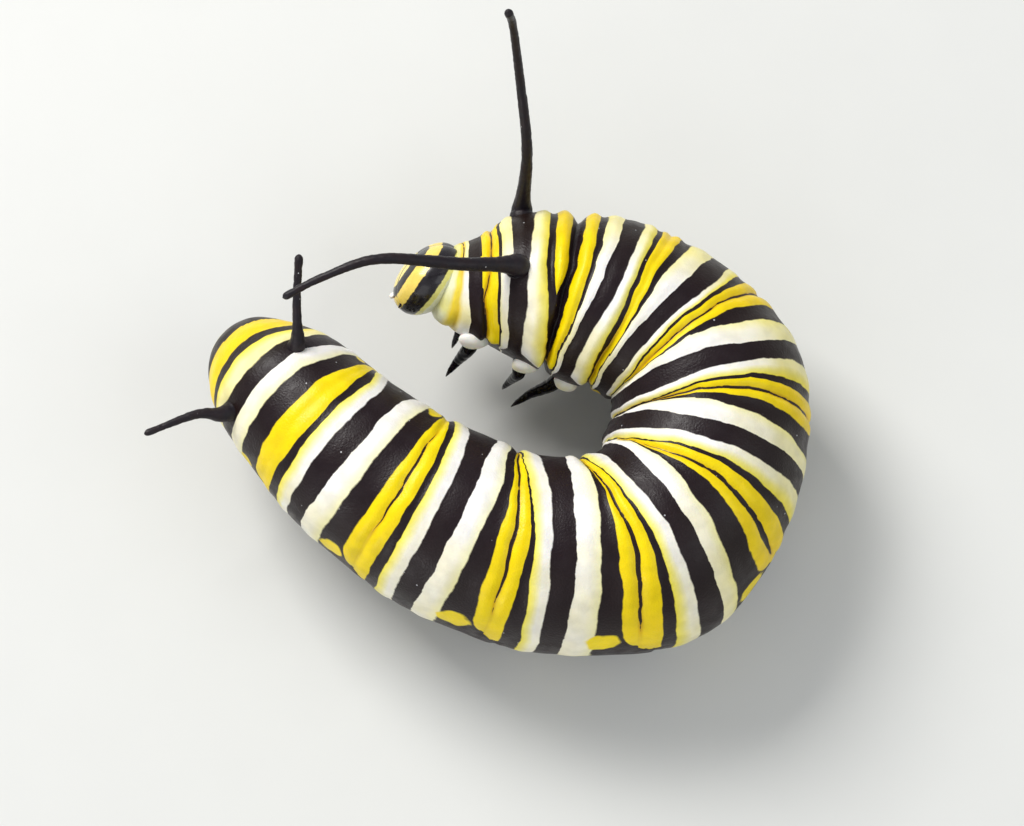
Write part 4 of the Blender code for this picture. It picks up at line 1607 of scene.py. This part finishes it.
@dataclass
class FleshyFoot:
    """A proleg: a soft black column with a pale outer patch and a sole ringed with hooks.

    The half widths and half lengths are those at the shares of the column's height in knots,
    from the root down. The last but one is where the sole starts.
    """

    name: str
    station: float
    side: float
    scale: float = 1.0
    from_belly: float = 30.0
    spread: float = 1.45
    knots: tuple = (0, 0.25, 0.45, 0.62, 0.74, 0.86, 0.95, 1.0)
    half_widths: tuple = (1.10, 1.0, 0.86, 0.70, 0.60, 0.72, 0.74, 0.66)
    half_lengths: tuple = (0.86, 0.78, 0.68, 0.54, 0.46, 0.53, 0.54, 0.46)
    rings: int = 60
    around: int = 72
    rolls: float = 4.5
    roll_height: float = 0.030
    hooks: int = 22
    hook_radius: float = 0.022

    def ends(self) -> tuple:
        """Where the foot stands.

        Returns:
            The root on the belly, the middle of the sole, and the ways across and along the body.
        """
        root = CURVE.point(self.station, 180 - self.side * self.from_belly, 0.94)
        forward = CURVE.forward(self.station)
        flat = unit(np.array([forward[0], forward[1], 0.0]))
        across = np.array([-flat[1], flat[0], 0.0]) * self.side
        sole = CURVE.point(self.station, 180.0) + across * self.spread * self.scale
        sole[2] = 0.0
        return root, sole, across, flat

    def build(self) -> bpy.types.Object:
        """Builds the column with its rolls of skin.

        Returns:
            The foot's object.
        """
        root, sole, across, flat = self.ends()
        share = np.linspace(0, 1, self.rings)
        path = root + (sole - root) * (share**0.9)[:, None]
        path[:, :2] = root[:2] + (sole[:2] - root[:2]) * (share**0.7)[:, None]
        width, length = (blur_line(np.interp(share, self.knots, halves) * self.scale, 2)
                         for halves in (self.half_widths, self.half_lengths))
        grid = stacked_rings(path, (across, flat), width, length, self.around)
        outwards = np.cos(circle(self.around))
        lift = fall(share, 0.55, 0.55)[:, None] * (0.55 * outwards) * min(1.0, root[2] - 0.4)
        grid[:, :, 2] += np.maximum(lift, -0.25 * root[2])
        rolls = self.roll_height * np.sin(share * 2 * math.pi * self.rolls) * (share < 0.9)
        bumps = self.roll_height * ripple(grid, 0.5, 2, 2.0) * (share < 0.93)[:, None]
        grid = grid + unit(grid - path[:, None]) * (rolls[:, None] + bumps)[..., None]
        grid[:, :, 2] = np.maximum(grid[:, :, 2], 0.0)
        grid[-1, :, 2] = 0.0
        patch = bell(share[:, None], 0.40, 0.16) * np.clip(outwards * 1.5, 0, 1) ** 0.7
        under = np.array([path[-1][0], path[-1][1], 0.0])
        return MeshPlan().add_grid(grid, {"patch": patch}, path[0], under).make(self.name)

    def build_hooks(self) -> bpy.types.Object:
        """Builds the row of small brown hooks round the sole's inner edge.

        Returns:
            The hooks' object.
        """
        _, sole, across, flat = self.ends()
        half_width, half_length = self.half_widths[-2] * self.scale, self.half_lengths[-2] * self.scale
        share = np.linspace(0, 1, 6)[:, None]
        plan = MeshPlan()
        for k in range(self.hooks):
            angle = math.pi * (0.55 + 0.90 * k / (self.hooks - 1))
            way = across * math.cos(angle) * half_width + flat * math.sin(angle) * half_length
            path = sole + way * 0.90 + unit(way) * 0.16 * np.sin(share * 1.9) + UP * 0.20 * (1 - share) ** 1.5
            path = path + UP * 0.028
            radii = self.hook_radius * (1 - share[:, 0] * 0.7)
            grid = tube(path, radii, np.array([0.1, 0.2, 1.0]), 6)
            plan.add_grid(grid, {"tip": 1.0}, path[0], path[-1], (0.02 + 0.044 * k, 0.02, 0.036, 0.9))
        return plan.make(f"{self.name}_hooks")


@dataclass
class FleshyFeet:
    """All ten prolegs."""

    stations: tuple = ((3, 6.0), (4, 7.0), (5, 8.0), (6, 9.0))
    rear_station: float = 12.95
    rear_scale: float = 0.8

    def all(self) -> list:
        """Every foot, left and right.

        Returns:
            The feet, before they are built.
        """
        feet = []
        for side, sign in SIDES.items():
            for number, station in self.stations:
                feet.append(FleshyFoot(f"proleg_{number}_{side}", station, sign))
            feet.append(FleshyFoot(f"anal_proleg_{side}", self.rear_station, sign, self.rear_scale))
        return feet

    def place(self, skin: bpy.types.Material, hooks: bpy.types.Material) -> None:
        """Builds the feet and puts them on the body.

        Args:
            skin: The columns' finish.
            hooks: The hooks' finish.
        """
        for foot in self.all():
            seat(foot.build(), skin, (foot.name,))
            seat(foot.build_hooks(), hooks)


# The head


@dataclass
class HeadCapsule:
    """The round striped head with its eyes and mouthparts.

    Places on the head are shares of its half sizes: to the left, to the face and to the crown.
    """

    centre: tuple = (-3.12, 4.98, 5.20)
    half_width: float = 1.50
    half_height: float = 1.62
    half_depth: float = 1.08
    pitch: float = 42.0
    roll: float = 30.0
    rings: int = 180
    around: int = 200
    stripe_tilt: float = 14.0
    fork_height: float = 0.38
    fork_slope: float = 0.34
    fork_reach: float = 0.035
    eye_radius: float = 0.055
    eye_angles: tuple = (-104, -52, 3, 54, 103, 172)
    eye_middle: tuple = (0.60, -0.19, -0.82)
    eye_spread: tuple = (0.15, 0.12)

    def axes(self) -> tuple:
        """The head's own ways.

        Returns:
            The left, face and crown directions, and the centre.
        """
        _, forward, left, back, _ = (rows[0] for rows in CURVE.axes(np.array([1.0])))
        turn, roll = math.radians(self.pitch), math.radians(self.roll)
        hold, tip = math.cos(roll), math.sin(roll)
        left, back = left * hold + back * tip, back * hold - left * tip
        crown = back * math.cos(turn) - forward * math.sin(turn)
        face = forward * math.cos(turn) + back * math.sin(turn)
        return left, face, crown, np.array(self.centre) - ORIGIN

    def at(self, across: Share, out: Share, up: Share) -> np.ndarray:
        """The point or points at a place on the head.

        Args:
            across: Shares of the half width to the left.
            out: Shares of the half depth to the face.
            up: Shares of the half height to the crown.

        Returns:
            The points.
        """
        left, face, crown, centre = self.axes()
        sideways = centre + left * across * self.half_width
        return sideways + face * out * self.half_depth + crown * up * self.half_height

    def shape(self, ball: np.ndarray) -> np.ndarray:
        """Bends points of a unit ball into the capsule.

        Args:
            ball: The points, as places on the head.

        Returns:
            The bent points, in the same form.
        """
        x, y, z = np.moveaxis(ball, -1, 0)
        cleft = 0.10 * bell(x, 0.0, 0.20) * np.maximum(0, z) ** 2
        cheeks = 1 - 0.13 * np.maximum(0, -z) ** 1.5
        flat = 1 - 0.08 * np.maximum(0, y) * (1 - x * x)
        groove = 0.012 * bell(x, 0.0, 0.045) * (z > -0.2)
        fork = bell(np.abs(x), self.fork_slope * np.clip(self.fork_height - z, 0, 1.2), self.fork_reach)
        scale = 1 - (groove + 0.010 * fork * (z < self.fork_height) * (y > 0))
        crown = (z - cleft) * np.where(z > 0, 1, 0.95)
        return np.stack([x * cheeks * scale, y * flat * scale, crown * scale], -1)

    def build_shell(self) -> bpy.types.Object:
        """Builds the capsule, its poles at the left and right.

        Returns:
            The capsule's object.
        """
        ball = egg(np.zeros(3), tuple(np.eye(3)), (1.0, 1.0, 1.0), (self.rings, self.around), 0.02)
        grid = self.at(*np.split(self.shape(ball), 3, axis=-1))
        neck, forward = (rows[0] for rows in CURVE.axes(np.array([0.0]))[:2])
        behind = np.einsum("ijk,k->ij", grid - (neck + forward * 0.05), forward)
        grid = grid - forward * np.minimum(behind, 0)[..., None] * 0.85
        grid = roughened(grid, self.at(0, 0, 0), 0.008, 0.5, 8.0)
        x, y, z = np.moveaxis(ball, -1, 0)
        tilt = math.radians(self.stripe_tilt)
        ahead, up = y * math.cos(tilt) - z * math.sin(tilt), z * math.cos(tilt) + y * math.sin(tilt)
        stripe = np.degrees(np.arctan2(np.hypot(x, 0.80 * up), ahead)) / 180
        stem = bell(x, 0.0, 0.03) * (z > 0.33)
        fork = bell(np.abs(x), self.fork_slope * (self.fork_height - z), self.fork_reach)
        suture = np.clip((stem + fork * (z < self.fork_height)) * rise(y, 0.35, 0.1), 0, 1)
        values = {"stripe": stripe, "suture": suture}
        return MeshPlan().add_grid(grid, values, place=WHOLE_MAP).make("head_shell")

    def lump(self, place: tuple, sizes: tuple, power: float, value: float = 0.0) -> tuple:
        """A rounded lump on the head.

        Args:
            place: Its middle's place on the head.
            sizes: Half sizes left, to the face and to the crown.
            power: Below 1 makes it blunter, above 1 more pointed.
            value: The tip and patch value.

        Returns:
            Its rings and vertex values.
        """
        left, face, crown, _ = self.axes()
        centre = self.at(*place)
        grid = egg(centre, (crown, left, face), (sizes[2], *sizes[:2]), (22, 28), 0.05, power)
        return roughened(grid, centre, 0.012, 0.2, 3.0), {"tip": value, "patch": value}

    def antenna(self, side: float) -> tuple:
        """A short antenna of three rings that narrow.

        Args:
            side: 1 on the left, -1 on the right.

        Returns:
            Its rings, vertex values and two end points.
        """
        left, face, crown, _ = self.axes()
        share = np.linspace(0, 1, 30)
        base = self.at(side * 0.40, 0.16, -0.76)
        path = base + np.outer(share * 0.26, -crown) - np.outer(share * 0.04, face)
        radii = 0.085 - 0.055 * share + 0.010 * np.cos(share * 6 * math.pi)
        radii[-4:] *= (0.95, 0.85, 0.65, 0.35)
        return tube(path, radii, left, 24), {"tip": 0.0}, path[0], path[-1]

    def build_mouth(self) -> dict:
        """Builds the upper lip, jaws, lower lip and short antennae.

        Returns:
            Each piece's object by its name.
        """
        parts = {
            "upper_lip": [self.lump((0, 0.50, -0.84), (0.22, 0.10, 0.12), 0.8, 1.0)],
            "jaws": [self.lump((sign * 0.15, 0.26, -0.78), (0.16, 0.15, 0.15), 0.9) for sign in (-1, 1)],
            "lower_lip": [self.lump((0, -0.10, -0.83), (0.20, 0.18, 0.14), 0.9),
                          self.lump((0, -0.04, -0.91), (0.05, 0.05, 0.07), 1.4)],
            "short_antennae": [self.antenna(sign) for sign in (-1, 1)],
        }
        made = {}
        for name, grids in parts.items():
            plan = MeshPlan()
            for given, place in zip(grids, (WHOLE_MAP,) if len(grids) == 1 else HALF_MAPS):
                plan.add_grid(*given, place=place)
            made[name] = plan.make(name)
        return made

    def build_eyes(self) -> bpy.types.Object:
        """Builds six small glossy eyes on each cheek.

        Returns:
            The eyes' object.
        """
        plan = MeshPlan()
        polar = np.linspace(0.03, math.pi * 0.62, 14)
        radii = np.sin(polar) ** 0.9 * self.eye_radius
        height = (np.cos(polar) - 0.25) * self.eye_radius * 0.8
        across, out, up = self.eye_middle
        eyes = [(sign, math.radians(angle)) for sign in (-1, 1) for angle in self.eye_angles]
        for number, (sign, angle) in enumerate(eyes):
            towards = (out + self.eye_spread[0] * math.cos(angle), up + self.eye_spread[1] * math.sin(angle))
            direction = unit(np.array([sign * across, *towards]))
            centre = self.at(*self.shape(direction[None])[0])
            outwards = unit(centre - self.at(0, 0, 0))
            side = unit(np.cross(outwards, (0.0, 0.1, 1.0)))
            path = centre + np.outer(height, outwards)
            grid = stacked_rings(path, (side, np.cross(outwards, side)), radii, radii, 24)
            plan.add_grid(grid, {"tip": 0.0}, path[0], path[-1], (0.02 + 0.08 * number, 0.02, 0.07, 0.96))
        return plan.make("stemmata")

    def place(self, shell: bpy.types.Material, gloss: bpy.types.Material, pale: bpy.types.Material) -> None:
        """Builds the head's pieces and puts them on the body.

        Args:
            shell: The capsule's finish.
            gloss: The finish of the eyes, jaws, lower lip and antennae.
            pale: The upper lip's finish.
        """
        seat(self.build_shell(), shell, ("head",))
        for name, made in self.build_mouth().items():
            seat(made, pale if name == "upper_lip" else gloss)
        seat(self.build_eyes(), gloss)


# The studio


@dataclass
class Studio:
    """The pale floor, soft light and camera.

    Each lamp is its name, place, side in millimetres, watts and colour.
    """

    aim: tuple = (1.3186, -1.4706, 4.5)
    elevation: float = 74.0
    distance: float = 189.6
    lens: float = 180.0
    sensor: float = 36.0
    clip: tuple = (0.005, 20.0)
    floor_half: float = 900.0
    lamps: tuple = (
        ("key", (-110, 120, 170), 110, 0.56, (1.0, 0.985, 0.95)),
        ("fill", (150, -60, 140), 160, 0.10, (0.93, 0.97, 1.0)),
        ("front", (-60, -170, 120), 150, 0.05, (1.0, 1.0, 0.98)),
        ("low", (-255, -310, 75), 130, 0.30, (1.0, 1.0, 1.0)),
    )
    lit_point: tuple = (0, 0, 4)
    sky: tuple = (0.95, 0.97, 1.0, 1.0)
    sky_strength: float = 0.42

    def build_floor(self) -> None:
        """Lays the floor under the feet."""
        half = self.floor_half * MM
        mesh = bpy.data.meshes.new("floor")
        corners = [(-half, -half, 0), (half, -half, 0), (half, half, 0), (-half, half, 0)]
        mesh.from_pydata(corners, [], [(0, 1, 2, 3)])
        made = bpy.data.objects.new("floor", mesh)
        bpy.context.scene.collection.objects.link(made)
        mesh.materials.append(PlainFloor().make())

    def build_light(self) -> None:
        """Lights the stage from all round, brightest from above on the left."""
        for name, place, size, power, colour in self.lamps:
            data = bpy.data.lights.new(name, "AREA")
            data.size, data.energy, data.color = size * MM, power, colour
            made = bpy.data.objects.new(name, data)
            made.location = Vector(place) * MM
            towards = Vector(self.lit_point) * MM - made.location
            made.rotation_euler = towards.to_track_quat("-Z", "Y").to_euler()
            bpy.context.scene.collection.objects.link(made)
        world = bpy.data.worlds.new("studio")
        world.use_nodes = True
        background = world.node_tree.nodes["Background"]
        background.inputs[0].default_value = self.sky
        background.inputs[1].default_value = self.sky_strength
        bpy.context.scene.world = world
        bpy.context.scene.view_settings.view_transform = "Standard"

    def build_camera(self) -> None:
        """Sets the camera at the photograph's angle."""
        data = bpy.data.cameras.new("camera")
        data.lens, data.sensor_width = self.lens, self.sensor
        data.clip_start, data.clip_end = self.clip
        made = bpy.data.objects.new("camera", data)
        tilt = math.radians(self.elevation)
        away = Vector((0.0, -math.cos(tilt), math.sin(tilt)))
        made.location = (Vector(self.aim) + away * self.distance) * MM
        made.rotation_euler = (-away).to_track_quat("-Z", "Y").to_euler()
        bpy.context.scene.collection.objects.link(made)
        bpy.context.scene.camera = made


def main() -> None:
    """Builds the animal piece by piece, then its stage."""
    logging.basicConfig(level=logging.INFO, format="%(name)s: %(message)s")
    black = DarkSkin().make()
    gloss = GlossShell().make()
    claw = GlossShell(name="claw_shell", amber_end=True).make()
    pale = PaleFlesh().make()
    TrunkSkin().place(BandedSkin().make())
    HeadCapsule().place(StripedShell().make(), gloss, pale)
    velvet = DarkSkin(name="filament_skin", roughness=0.46, grain_mm=0.035, bump=0.5, relief_mm=0.014).make()
    for feeler in FEELERS:
        seat(feeler.build(), velvet, (feeler.name,))
    for leg in WALKING_LEGS:
        leg.place(gloss, claw)
    for side in SIDES:
        seat(RootLobes().build(side), pale)
    FleshyFeet().place(black, claw)
    studio = Studio()
    studio.build_floor()
    studio.build_light()
    studio.build_camera()


if __name__ == "__main__":
    main()
